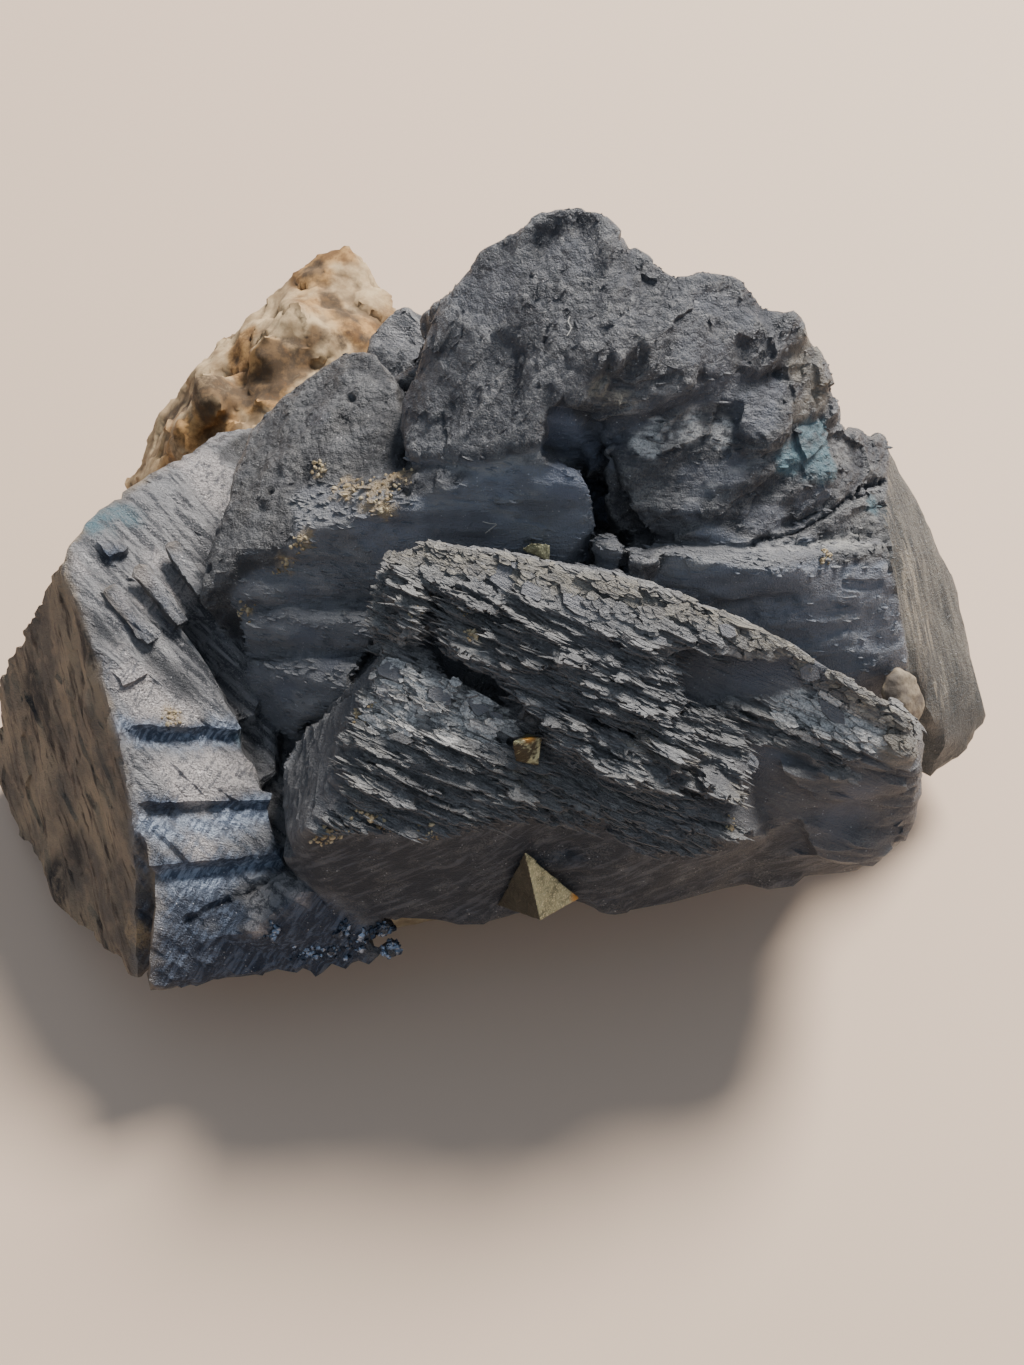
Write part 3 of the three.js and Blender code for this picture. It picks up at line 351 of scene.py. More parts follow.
rock_material, rock_shader, add = new_material("iron_stained_rock")
patches = surface_noise(add, 75.0)
spots = surface_noise(add, 420.0, 6.0, 0.7)
DARK_OCHRE, LIGHT_OCHRE = (0.3, 0.2, 0.105), (0.54, 0.4, 0.23)
DARK_BROWN, LIGHT_BROWN = (0.045, 0.03, 0.018), (0.17, 0.1, 0.045)
DARK_ORANGE, LIGHT_ORANGE = (0.15, 0.075, 0.025), (0.42, 0.24, 0.09)
CONTACT_SHADE_AND_STAIN = (0.035, 0.031, 0.028)
HOLLOW_SHADE_BROWN = (0.07, 0.05, 0.032)
ochre = mix_colour(add, remap(add, spots, 0.35, 0.7), DARK_OCHRE, LIGHT_OCHRE)
brown = mix_colour(add, remap(add, spots, 0.4, 0.65), DARK_BROWN, LIGHT_BROWN)
rusty_ochre = mix_colour(add, remap(add, spots, 0.38, 0.62), DARK_ORANGE, LIGHT_ORANGE)
stone = mix_colour(add, remap(add, patches, 0.45, 0.6), ochre, rusty_ochre)
stone = marked(add, stone, "orange", rusty_ochre)
dark_patches = surface_noise(add, 110.0, 6.0, 0.65)
stone = mix_colour(add, remap(add, dark_patches, 0.56, 0.67), stone, brown)
stone = marked(add, stone, "brown", brown, remap(add, spots, 0.3, 0.5))
# painted shade and stain where the rock meets the crystals
stone = marked(add, stone, "contact", CONTACT_SHADE_AND_STAIN)
# painted shade in the rock's hollows
stone = mix_colour(add, remap(add, attribute(add, "hollow"), 0.55, 0.9, 0.0, 0.4), stone, HOLLOW_SHADE_BROWN)
feed(rock_shader, "Base Color", stone)
rock_shader.inputs["Roughness"].default_value = 0.9
bumpy(add, rock_shader, spots, 0.5, 0.00015)
finished_piece(rock, "rock_matrix", "matrix", rock_material, 50)

# Sphalerite cluster
# One intergrown mass of black sphalerite crystals, zinc sulphide that grew in layers from hot water.
# Its front crystals have broken, bark-like growth layers with dust on every tread, its left one is a
# cleaved silvery slab with a rusty side, and the rest is darker, ribbed or pitted.

CLUSTER_GRID = 0.2
CLUSTER_TRIANGLES = 190000
GROWTH_LINE = (0.909, -0.310, -0.275)
SHELF_NORMAL = (0.29, 0.0, 0.957)
ROOF_NORMAL = (0.13, -0.42, 0.9)
LEVEL_WAY = (1, -0.15, 0.05)
CLIMBING_WAY = (0.8, 0, 0.6)
RIB_WAY = (0.35, 0.45, 0.8)
SIDE_WAY = (0.35, -0.45, -0.8)
CLEAVAGE_WAY = (0.75, -0.6, -0.3)
RUST_WAY = (0.35, -0.8, -0.45)
BORDER_RAGGEDNESS = 0.9
NORMAL_WORTH = 7.0
ZONE_SPREAD = 5
LEAST_SHARE = 0.02
BROAD_ROUNDS = 12
SOFTENING_ROUNDS = 22
CALM_ROUNDS = 24
CHIP_DEPTH = 1.6
LOWEST_CRYSTAL = 0.4

SEEN_ZONES = {
    "level": [
        (430, 555), (470, 570), (510, 580), (560, 590), (600, 600), (650, 615), (700, 625), (750, 640),
        (790, 655), (830, 680), (860, 700), (885, 715), (395, 675), (420, 690), (460, 700), (490, 715),
        (380, 700), (800, 715), (840, 715), (865, 730),
    ],
    "stepped": [
        (405, 600), (400, 580), (405, 645), (470, 605), (530, 620), (590, 640), (640, 650), (500, 650),
        (560, 665), (620, 680), (660, 695), (470, 640), (600, 740), (640, 725), (700, 715), (740, 725),
        (370, 730), (420, 740), (460, 760), (500, 770), (380, 770), (440, 790), (520, 790), (560, 785),
        (360, 815), (410, 820), (460, 800), (600, 800), (640, 800), (700, 820), (690, 750),
    ],
    "steep": [
        (540, 700), (590, 715), (480, 625), (700, 650), (420, 770), (560, 760), (600, 770), (650, 770),
        (700, 775), (750, 740), (660, 820), (820, 745),
    ],
    "smooth": [
        (470, 665), (450, 650), (500, 700), (740, 675), (780, 670), (700, 680), (780, 770), (830, 770),
        (860, 810), (740, 810), (890, 760), (850, 845), (880, 795), (335, 790), (340, 740), (312, 790),
        (305, 820), (322, 765),
    ],
    "underside": [
        (330, 860), (380, 870), (400, 900), (460, 870), (440, 900), (520, 840), (600, 850), (560, 840),
        (620, 890), (660, 860), (700, 870), (760, 860), (800, 870), (300, 850),
    ],
    "pitted": [
        (240, 450), (225, 500), (215, 550), (205, 600), (250, 520), (240, 570), (290, 400), (270, 440),
        (330, 370), (320, 400), (360, 400), (340, 440), (300, 450), (380, 460), (330, 470),
    ],
    "dark_face": [
        (380, 520), (450, 520), (500, 500), (550, 500), (575, 520), (700, 580), (760, 590), (820, 590),
        (860, 590), (820, 630), (870, 640), (860, 670),
    ],
    "lined": [
        (320, 560), (260, 590), (330, 590), (370, 570), (280, 640), (340, 630), (270, 680), (320, 670),
        (290, 720), (340, 510), (740, 550), (790, 548), (850, 542), (690, 555), (640, 560),
    ],
    "ribbed": [
        (450, 330), (490, 270), (540, 230), (590, 220), (620, 250), (500, 330), (560, 280), (560, 350),
        (600, 320), (640, 280), (640, 340), (680, 320), (700, 290), (740, 300), (700, 350), (750, 340),
        (780, 330), (460, 380), (500, 400), (520, 430), (450, 430), (400, 350),
    ],
    "blocky": [
        (640, 430), (700, 420), (660, 470), (720, 480), (780, 480), (820, 500), (680, 520), (640, 500),
        (860, 480), (860, 520), (840, 460), (810, 430), (800, 380), (590, 560), (640, 400), (720, 385),
    ],
    "streaked": [(905, 560), (930, 620), (950, 680), (965, 720), (900, 520), (925, 690), (940, 735)],
    "silver": [
        (100, 540), (150, 530), (200, 510), (150, 570), (190, 580), (120, 610), (160, 620), (200, 640),
        (230, 690), (170, 660), (130, 690), (160, 700), (200, 700), (150, 730), (200, 728), (170, 770),
        (220, 770), (250, 780), (160, 818), (250, 805), (180, 845), (240, 840), (180, 872), (240, 870),
        (200, 900), (170, 950), (250, 910), (300, 910), (300, 940), (200, 970), (400, 340), (205, 455),
        (215, 442), (220, 475),
    ],
    "rusty": [(60, 620), (30, 670), (20, 730), (80, 720), (50, 780), (100, 790), (110, 860), (60, 850),
              (120, 930), (130, 965)],
}
HIDDEN_ZONES = {
    "underside": [(-12, -10, 12), (4, -8, 12), (20, -6, 12), (30, -6, 14), (0, -3, 8), (15, -2, 8)],
    "ribbed": [(0, 34, 38), (10, 33, 40), (20, 31, 37), (-9, 34, 30), (2, 30, 48), (-14, 30, 28)],
    "streaked": [(38, 20, 22), (34, 24, 16), (43, 12, 8), (30, 28, 25)],
    "rusty": [(-46, 10, 12), (-42, 16, 8), (-36, 18, 24)],
    "pitted": [(-20, 28, 30)],
}


def unit(vector):
    return np.array(vector, float) / np.linalg.norm(vector)


def turned(points, along, out):
    """The points in axes that follow a face: along its lines, across them, and out of it."""
    along = unit(along)
    across = unit(np.cross(out, along))
    return points @ np.stack([along, across, np.cross(along, across)], axis=1)


def stairs(height, tread):
    """Steps of height one: level for that share of each step, then rising; and the riser's mask."""
    level = np.floor(height)
    part = np.clip((height - level - tread) / (1 - tread), 0, 1)
    return level + part * part * (3 - 2 * part), 1 - np.abs(2 * part - 1)


cad_cluster = solid_in_mm("sphalerite_cluster")


def seen_at(x, y):
    return seen_on(crystal_tree, x, y)


def nearest_on_cluster(place):
    spot, out, face, gap = crystal_tree.find_nearest(Vector(place))
    return np.array(spot), np.array(out)


def zone_shares(points, normals, edges):
    """How far each point belongs to each zone: the nearest place that faces alike decides."""
    warp = np.stack([noise(points, 2.2, 21 + k) for k in range(3)], axis=1) * BORDER_RAGGEDNESS
    facing = np.hstack([points + warp, normals * NORMAL_WORTH])
    best = np.full(len(points), 1e9)
    owner = np.zeros(len(points), int)
    for number, name in enumerate(SEEN_ZONES):
        places = [seen_at(x, y) for x, y in SEEN_ZONES[name]]
        places += [nearest_on_cluster(place) for place in HIDDEN_ZONES.get(name, [])]
        for place, out in places:
            gap = ((facing - np.concatenate([place, out * NORMAL_WORTH])) ** 2).sum(axis=1)
            closer = gap < best
            best[closer] = gap[closer]
            owner[closer] = number
    shares = spread(np.eye(len(SEEN_ZONES))[owner], edges, ZONE_SPREAD)
    return {name: shares[:, number] for number, name in enumerate(SEEN_ZONES)}


def gap_to_line(points, line, reach):
    """The points near a line drawn through pixels of the photograph, and their distance to it in mm."""
    places = []
    for (x0, y0), (x1, y1) in zip(line, line[1:]):
        count = int(np.hypot(x1 - x0, y1 - y0) / 6) + 1
        places += [seen_at(x0 + (x1 - x0) * k / count, y0 + (y1 - y0) * k / count)[0]
                   for k in range(count)]
    places = np.array(places)
    inside = ((points > places.min(axis=0) - reach) & (points < places.max(axis=0) + reach)).all(axis=1)
    close = np.flatnonzero(inside)
    gap = np.full(len(close), 1e9)
    for place in places:
        gap = np.minimum(gap, ((points[close] - place) ** 2).sum(axis=1))
    return close, np.sqrt(gap)


def ragged_band(line, reach, raggedness, size, seed, outer, inner):
    """The points near a line of pixels, and a mask of a ragged band along it."""
    close, gap = gap_to_line(points, line, reach)
    gap += raggedness * rough(points[close], size, seed)
    return close, smooth_step(gap, outer, inner)


cluster = after_modifier(cad_cluster.copy(), "REMESH", mode="VOXEL", voxel_size=CLUSTER_GRID)
points = points_of(cluster)
edges = edges_of(cluster)
normals = spread(normals_of(cluster), edges, 2)
zone = zone_shares(points, normals, edges)
broad = spread(normals, edges, BROAD_ROUNDS)
broad /= np.linalg.norm(broad, axis=1)[:, None]

# soften the plain corners of the worn and crumbly parts, and chip the others
THIN_END = [(375, 930, 2.0), (360, 945, 2.0), (388, 946, 2.0), (396, 948, 1.5), (376, 954, 2.0)]
soft = zone["ribbed"] + zone["pitted"] + 0.8 * zone["underside"] + zone["lined"] + 0.7 * zone["blocky"]
thin_end = patches_on(crystal_tree, points, THIN_END)
soft = np.clip(soft, 0, 1) * (1 - thin_end)
softened = spread(points, edges, SOFTENING_ROUNDS)
corner = ((points - softened) * broad).sum(axis=1)
points += (softened - points) * np.clip(soft, 0, 1)[:, None]
chips = np.clip(corner, 0, 0.6) * smooth_step(rough(points, 2.4, 23), -0.1, 0.5)
points -= broad * (CHIP_DEPTH * chips * (1 - np.clip(soft, 0, 1)))[:, None]
dust = np.zeros(len(points))

# bare facets: parts of the faces that stayed plane and blue-black, with little dust on them; the bands under
# overhanging edges are painted shade, dustless and blue-black in the same way
FACETS = [
    (478, 290, 2.0), (492, 305, 2.0), (500, 282, 1.8), (560, 252, 1.4), (582, 258, 1.4), (705, 303, 1.2),
    (725, 310, 1.3), (745, 322, 1.2), (692, 350, 1.5), (714, 355, 1.5), (752, 420, 1.6), (764, 402, 1.6),
    (772, 390, 1.2), (757, 520, 1.2), (775, 515, 1.2), (803, 502, 1.0), (822, 494, 1.0), (540, 505, 1.6),
    (562, 500, 1.6), (522, 482, 1.0), (475, 530, 1.6), (440, 525, 1.4), (400, 515, 1.2), (750, 672, 1.6),
    (775, 668, 1.6), (790, 680, 1.2), (820, 672, 1.2), (765, 758, 1.8), (840, 815, 2.0), (860, 795, 1.6),
    (400, 400, 1.6), (700, 480, 1.6), (730, 470, 1.4), (690, 510, 1.2), (320, 415, 1.2), (300, 640, 1.4),
    (330, 660, 1.2), (285, 690, 1.2), (300, 590, 1.0),
]
SHADE_BANDS = [
    ([(552, 425), (600, 440), (640, 420), (700, 398), (760, 382)], 1.5),
    ([(720, 600), (780, 590), (840, 580)], 1.2),
    ([(700, 585), (750, 575)], 0.9),
]
bare = patches_on(crystal_tree, points, FACETS, 0.5, 1.5, 371)
for line, width in SHADE_BANDS:
    close, band = ragged_band(line, width * 1.8, 0.5 * width, 1.8, 373, width, width * 0.5)
    bare[close] = np.maximum(bare[close], band)
calm = np.maximum(spread(bare, edges, CALM_ROUNDS) * 0.8, thin_end)


def lift(where, amount):
    """Moves the chosen points out of the surface, less so on bare facets and painted shade bands."""
    points[where] += broad[where] * (amount * (1 - calm[where]))[:, None]


def zone_part(name):
    """The corners that belong to a zone, their share of it and their places so far."""
    where = np.flatnonzero(zone[name] > LEAST_SHARE)
    return where, zone[name][where], points[where]


# crevices between the crystals: each is a line of pixels, its width and depth in mm. They are cut in, and
# painted darker as shade in the material.
CREVICES = [
    ([(434, 598), (432, 640), (452, 668), (480, 684), (508, 702), (535, 722), (548, 742)], 1.5, 1.6),
    ([(196, 625), (220, 665), (245, 705), (258, 745), (276, 790), (286, 850)], 1.4, 1.4),
    ([(383, 640), (352, 690), (305, 735), (290, 765)], 1.0, 1.0),
    ([(592, 432), (600, 455), (612, 490), (628, 520), (650, 552)], 1.4, 1.2),
    ([(548, 412), (600, 428), (650, 418), (700, 398), (750, 384), (785, 372)], 1.0, 1.0),
    ([(750, 545), (800, 530), (850, 500), (885, 480)], 0.5, 0.6),
    ([(560, 708), (600, 722), (640, 738)], 0.8, 0.7),
    ([(500, 742), (545, 748), (590, 770)], 0.7, 0.6),
    ([(190, 920), (230, 900), (285, 872)], 0.6, 0.5),
    ([(700, 610), (760, 600), (800, 600)], 0.8, 0.5),
]
hollow = np.zeros(len(points))
for line, width, depth in CREVICES:
    close, cut = ragged_band(line, width * 1.6, 0.35 * width, 1.6, 27, width, width * 0.15)
    lift(close, -depth * cut)
    hollow[close] = np.maximum(hollow[close], cut)

# growth layers of the front crystals: shelves where they are steep, thin scales where they are level
SHELVES = ((1.25, 0.55, 5.0, 0.5), (0.55, 0.5, 3.0, 0.45))
bark_share = zone["stepped"] + 0.8 * zone["steep"] + 0.2 * zone["smooth"]
bark = np.flatnonzero(bark_share > LEAST_SHARE)
shelf = unit(SHELF_NORMAL)
facing = np.clip(broad[bark] @ shelf, 0.45, 1)
riser_mask = np.zeros(len(bark))
for number, (step, tread, length, wander) in enumerate(SHELVES):
    local = turned(points[bark], GROWTH_LINE, SHELF_NORMAL)
    height = points[bark] @ shelf / step + wander * noise(local, (length * 2.4, 3.0, 3.0), 41 + number)
    height += wander * 0.6 * noise(local, (length * 0.7, 0.7, 0.7), 51 + number)
    gap, owner = cells(local, (length, 1.1, 1.1), 61 + number)
    height += 0.7 * (owner - 0.5)
    level, riser = stairs(height, tread)
    lift(bark, (level - height + 0.35) * step * bark_share[bark] / facing * 0.85)
    riser_mask = np.maximum(riser_mask, riser * (1.0 if number == 0 else 0.8))
dust[bark] = bark_share[bark] * (1 - riser_mask)

SCALE_STEP = 0.4
scales = np.flatnonzero(zone["level"] > LEAST_SHARE)
local = turned(points[scales], GROWTH_LINE, ROOF_NORMAL)
height = points[scales] @ unit(ROOF_NORMAL) / SCALE_STEP + 0.8 * noise(local, (5.0, 1.8, 1.8), 67)
gap, owner = cells(local, (2.2, 1.1, 1.1), 69)
level, riser = stairs(height + 1.2 * (owner - 0.5), 0.75)
lift(scales, zone["level"][scales] * SCALE_STEP * (level - height))
dust[scales] += zone["level"][scales] * (1 - 0.9 * riser)

# underside: smooth, with faint streaks that climb to the right
UNDER_WAVE, UNDER_STREAK = 0.3, 0.12
under_share = zone["underside"] + zone["smooth"]
under = np.flatnonzero(under_share > LEAST_SHARE)
local = turned(points[under], CLIMBING_WAY, (0, -1, 0.1))
lift(under, under_share[under] * (
    UNDER_WAVE * noise(local, (6.0, 2.4, 2.4), 71) + UNDER_STREAK * rough(local, (3.0, 0.6, 0.6), 73)))

# pitted lobe: uneven and granular, with round pits
PIT_CELL, PIT_CHANCE, PIT_DEPTH = 1.7, 0.86, 0.55
LOBE_LUMPS, LOBE_GRAIN = 0.5, 0.16
where, share, here = zone_part("pitted")
gap, owner = cells(here, PIT_CELL, 81)
pit = np.where(owner > PIT_CHANCE, smooth_step(gap, 0.35, 0.1), 0)
lift(where, share * (
    LOBE_LUMPS * rough(here, 3.4, 83) + LOBE_GRAIN * rough(here, 0.9, 85) - PIT_DEPTH * pit))
dust[where] += share * 0.3 * smooth_step(rough(points[where], 1.6, 87), -0.2, 0.5)

# dark faces: nearly plane, broken by long low steps
DARK_STEP, DARK_WAVE, DARK_LINES = 0.28, 0.3, 0.16
where, share, here = zone_part("dark_face")
local = turned(here, (1, -0.1, 0.1), (0, -0.8, 0.6))
gap, owner = cells(local, (4.0, 1.3, 1.5), 89)
thin_lines = rough(local, (3.2, 0.55, 0.7), 93)
lift(where, share * (
    DARK_STEP * (owner - 0.5) + DARK_WAVE * noise(local, (7.0, 2.4, 2.4), 91) + DARK_LINES * thin_lines))
dust[where] += share * 0.7 * smooth_step(thin_lines + 0.5 * rough(points[where], 2.5, 95), 0.15, 0.6)

# lined faces: dusty, crumbly lines close together
LINE_RISE, LINED_WAVE, LINED_GRAIN = 0.22, 0.4, 0.15
where, share, here = zone_part("lined")
local = turned(here, LEVEL_WAY, (0, -0.7, 0.7))
line_height = rough(local, (4.0, 0.8, 0.9), 101)
lift(where, share * (
    LINE_RISE * line_height + LINED_WAVE * noise(local, (5.0, 2.4, 2.4), 103)
    + LINED_GRAIN * rough(here, 0.9, 105)))
dust[where] += share * 0.7 * smooth_step(line_height + 0.4 * rough(points[where], 2.5, 107), -0.1, 0.5)

# rear crystals: soft ribs that run down to the left, with crumbs between them
RIB_RISE, REAR_CRUMBS, REAR_WAVE = 0.5, 0.16, 0.5
LARGE_CHIP_STEP, SMALL_CHIP_STEP = 0.42, 0.2
where, share, here = zone_part("ribbed")
local = turned(here, RIB_WAY, (0, -0.6, 0.8))
ribs = 1 - 2 * np.abs(noise(local, (8.0, 2.6, 3.0), 111))
gap, large_chip = cells(local, (4.5, 1.7, 2.2), 112)
gap, small_chip = cells(local, (1.8, 0.8, 0.9), 114)
crumbs = rough(here, 1.3, 113, 3)
drift = smooth_step(rough(here, 4.5, 116, 2), -0.4, 0.35)
lift(where, share * (
    RIB_RISE * ribs + LARGE_CHIP_STEP * (large_chip - 0.5) + SMALL_CHIP_STEP * (small_chip - 0.5)
    + REAR_CRUMBS * crumbs + REAR_WAVE * noise(here, 6.0, 115)))
dust[where] += share * np.clip(0.14 + 0.25 * ribs + 0.25 * crumbs, 0, 0.5) * (0.35 + 0.65 * drift)
dust[where] *= 1.25 - 1.0 * smooth_step(points[where, 0], -6, 18)

# rear blocks: broken into rough blocks
BLOCK_STEP, SMALL_BLOCK_STEP = 0.65, 0.12
BLOCK_GRAIN, BLOCK_WAVE = 0.12, 0.4
where, share, here = zone_part("blocky")
local = turned(here, (0.9, 0.1, 0.3), (0, -0.7, 0.7))
gap, owner = cells(local, (4.2, 2.2, 2.6), 117)
gap, small_block = cells(local, (1.6, 0.8, 1.0), 122)
lift(where, share * (
    BLOCK_STEP * (owner - 0.5) + SMALL_BLOCK_STEP * (small_block - 0.5)
    + BLOCK_GRAIN * rough(here, 1.2, 119) + BLOCK_WAVE * noise(here, 5.0, 118)))
dust[where] += share * 0.55 * smooth_step(rough(points[where], 1.8, 120), -0.3, 0.4)

# streaked side: lengthwise streaks
STREAK_RISE, SIDE_WAVE = 0.3, 0.4
where, share, here = zone_part("streaked")
local = turned(here, SIDE_WAY, (0.7, -0.6, 0.3))
lift(where, share * (
    STREAK_RISE * rough(local, (9.0, 1.1, 1.1), 121) + SIDE_WAVE * noise(local, (9.0, 4.0, 4.0), 123)))

# silvery slab: cleavage steps that cross it
CLEAVAGE_STEP, CLEAVAGE_RISE = 1.3, 0.2
SLAB_CHIP_STEP, SLAB_GRAIN = 0.22, 0.07
where, share, here = zone_part("silver")
local = turned(here, CLEAVAGE_WAY, (0.1, -0.35, 0.93))
height = local[:, 1] / CLEAVAGE_STEP + 0.5 * noise(local, (6.0, 3.0, 3.0), 131)
gap, owner = cells(local, (4.5, 1.3, 2.0), 133)
level, riser = stairs(height, 0.8)
lift(where, share * (
    (level - height) * CLEAVAGE_RISE + SLAB_CHIP_STEP * (owner - 0.5)
    + SLAB_GRAIN * rough(here, 1.2, 135)))

# rusty side: streaks along its upper edge
RUST_STREAK, RUST_GRAIN, RUST_CHIP_STEP, RUST_WAVE = 0.3, 0.12, 0.4, 0.5
where, share, here = zone_part("rusty")
local = turned(here, RUST_WAY, (-0.75, -0.5, 0.3))
gap, owner = cells(local, (4.5, 1.8, 1.8), 145)
lift(where, share * (
    RUST_STREAK * rough(local, (7.0, 1.5, 1.5), 141) + RUST_GRAIN * rough(here, 0.9, 143)
    + RUST_CHIP_STEP * (owner - 0.5) + RUST_WAVE * noise(here, 6.0, 147)))

everywhere = np.arange(len(points))
lift(everywhere, 0.05 * rough(points, 0.6, 151, 2) * (1 - 0.8 * zone["smooth"]))
points[:, 2] = np.maximum(points[:, 2], LOWEST_CRYSTAL)
move_points(cluster, points)

# marks that the material reads: dust, painted light on some tops, painted shade in crevices, under ledges and
# on the slab's front faces with a bluish sheen, painted glints and reflections, teal tarnish, and dark slots
fine_normals = normals_of(cluster)
edge = ((points - spread(points, edges, 5)) * fine_normals).sum(axis=1)
upward = smooth_step(fine_normals[:, 2], 0.2, 0.85)
# painted shade and sheen: the slab's faces turned to the front, and spots at its lower end, are coloured blue
front_shade_and_sheen = zone["silver"] * smooth_step(-broad[:, 1], 0.35, 0.7)
# painted glints: lighter blue and silver-blue streaks along these lines of the slab
GLINT_LINES = [
    [(122, 728), (180, 738), (250, 732)],
    [(142, 826), (200, 828), (275, 808)],
    [(152, 874), (210, 876), (278, 860)],
]
SHADE_BLUE_SPOTS = [(190, 905, 2.5), (180, 940, 2.5), (220, 950, 2.5), (230, 915, 2.0), (270, 945, 2.0),
              (310, 945, 2.2), (160, 955, 2.0), (340, 935, 2.0)]
front_shade_and_sheen = np.maximum(front_shade_and_sheen, patches_on(crystal_tree, points, SHADE_BLUE_SPOTS, 0.4, 1.6, 353))
glint = np.zeros(len(points))
for line in GLINT_LINES:
    close, band = ragged_band(line, 2.2, 0.7, 1.0, 351, 1.4, 0.7)
    glint[close] = np.maximum(glint[close], band)
dust = np.clip(dust, 0, 1) * (0.3 + 0.7 * upward) * (1 - 0.7 * hollow) * (1 - 0.85 * bare)

TEAL = [
    (808, 445, 2.3), (790, 458, 1.7), (818, 468, 1.7), (875, 505, 0.9), (100, 520, 1.6), (125, 514, 1.2),
    (248, 735, 0.9),
]
# painted reflections: pinkish-white patches on the silvery slab
REFLECTION_SPOTS = [
    (205, 470, 2.4), (215, 495, 1.5), (76, 565, 0.8), (180, 590, 1.3), (135, 680, 1.8), (150, 702, 2.0),
    (182, 714, 1.2), (175, 775, 1.8), (215, 770, 2.1), (245, 768, 1.5), (195, 798, 1.6), (200, 848, 1.2),
    (118, 645, 0.9), (120, 600, 0.9), (298, 893, 0.8), (255, 930, 0.7), (135, 575, 1.3), (160, 560, 1.1),
    (150, 600, 1.1), (225, 560, 1.2),
]
OCHRE = [
    (345, 487, 1.4), (375, 493, 1.4), (400, 475, 1.2), (385, 505, 1.1), (305, 540, 0.8), (285, 565, 1.0),
    (250, 610, 0.8), (318, 470, 0.7), (173, 715, 0.9), (135, 935, 1.5),
]
PALE_DUST = [
    (605, 392, 1.3), (622, 402, 1.1), (640, 735, 1.1), (655, 745, 1.1), (690, 765, 1.3), (735, 795, 1.0),
    (520, 775, 0.9), (540, 780, 0.8), (540, 572, 1.6), (470, 640, 0.9), (620, 405, 1.0), (570, 440, 1.0),
]
TAN = [(805, 360, 2.3), (815, 392, 1.7), (800, 412, 1.2), (905, 745, 2.2), (925, 725, 1.6)]
ROOF_EDGE = [(388, 566), (415, 552), (500, 564), (560, 582), (620, 588), (700, 612), (790, 647), (860, 697),
             (898, 722)]
close, band = ragged_band(ROOF_EDGE, 2.2, 0.7, 1.2, 341, 1.6, 0.5)
rim = np.zeros(len(points))
rim[close] = band
marks = {name: zone[name] for name in (
    "underside", "dark_face", "pitted", "ribbed", "blocky", "streaked", "silver", "rusty", "smooth", "lined")}
marks["bark"] = zone["level"] + zone["stepped"] + zone["steep"] + zone["smooth"]
marks["teal"] = patches_on(crystal_tree, points, TEAL)
marks["bright"] = patches_on(crystal_tree, points, REFLECTION_SPOTS, 0.35, 1.2, 311)
marks["ochre"] = patches_on(crystal_tree, points, OCHRE, 0.9, 0.7, 321)
marks["tan"] = patches_on(crystal_tree, points, TAN, 0.5, 1.4, 331)
marks["rim"] = np.maximum(rim, patches_on(crystal_tree, points, PALE_DUST, 0.9, 0.8, 361))
marks["blue"] = front_shade_and_sheen
marks["glint"] = glint
marks["hollow"] = hollow
marks["bare"] = bare
# painted light: these tops get more dust, of a near-white colour, so that they look lit
PAINTED_LIGHT_TOPS = [
    (400, 680, 2.2), (420, 690, 2.2), (445, 700, 2.0), (470, 708, 1.8), (392, 700, 1.8), (500, 722, 1.2),
    (790, 708, 1.6), (820, 715, 1.8), (850, 724, 1.6), (875, 738, 1.4), (380, 715, 1.6), (450, 722, 1.8),
    (405, 720, 2.0), (480, 732, 1.4), (662, 432, 1.4), (690, 430, 1.5), (715, 434, 1.3), (645, 447, 1.1),
]
# painted light: the deep faces by the crevice get a lighter blue, as if lit by the sky
BLUE_LIT_DEEP_FACES = [
    (562, 436, 1.8), (580, 452, 2.0), (572, 472, 2.0), (592, 486, 1.8), (606, 506, 1.6), (560, 420, 1.4),
]
PALE_LINES = [
    ([(667, 568), (740, 552), (800, 546), (860, 543)], 0.9),
    ([(440, 468), (480, 472), (547, 450), (597, 483)], 0.6),
    ([(520, 493), (543, 494)], 0.3),
    ([(595, 388), (632, 412)], 1.2),
    ([(651, 396), (679, 390)], 0.8),
    ([(440, 500), (480, 506), (520, 520)], 0.3),
    ([(690, 500), (730, 470), (775, 465)], 0.4),
]
marks["light"] = patches_on(crystal_tree, points, PAINTED_LIGHT_TOPS, 0.8, 1.4, 391)
marks["deep"] = patches_on(crystal_tree, points, BLUE_LIT_DEEP_FACES, 0.6, 1.4, 397)
pale = np.zeros(len(points))
for line, width in PALE_LINES:
    close, band = ragged_band(line, width * 2.5 + 0.5, width * 0.9, 0.9, 393, width * 1.1, width * 0.4)
    pale[close] = np.maximum(pale[close], band)
dust = np.maximum(dust, 0.85 * pale)
# more dust on the painted light tops
dust = np.maximum(dust, 0.9 * marks["light"] * smooth_step(rough(points, 0.8, 395), -0.5, 0.1))
# painted shade: the rusty side is darkened to near black at its left and lower parts
RUST_SHADE_SPOTS = [(32, 695, 3.0), (45, 722, 2.2), (60, 880, 2.6), (70, 850, 2.0), (92, 640, 1.4)]
marks["soot"] = patches_on(crystal_tree, points, RUST_SHADE_SPOTS, 0.7, 2.5, 381)
SLOTS = [([(97, 622), (124, 646)], 0.8), ([(153, 660), (193, 694)], 1.0)]
slot = np.zeros(len(points))
for line, width in SLOTS:
    close, band = ragged_band(line, width * 1.6, 0.2, 1.0, 383, width, width * 0.7)
    slot[close] = np.maximum(slot[close], band)
marks["slot"] = slot
SIDE_EDGE = [(876, 470), (890, 520), (905, 560), (930, 640), (940, 700)]
close, band = ragged_band(SIDE_EDGE, 4.0, 0.8, 2.0, 385, 2.8, 0.8)
side_edge = np.zeros(len(points))
side_edge[close] = band
marks["side_edge"] = side_edge
marks["dust"] = dust
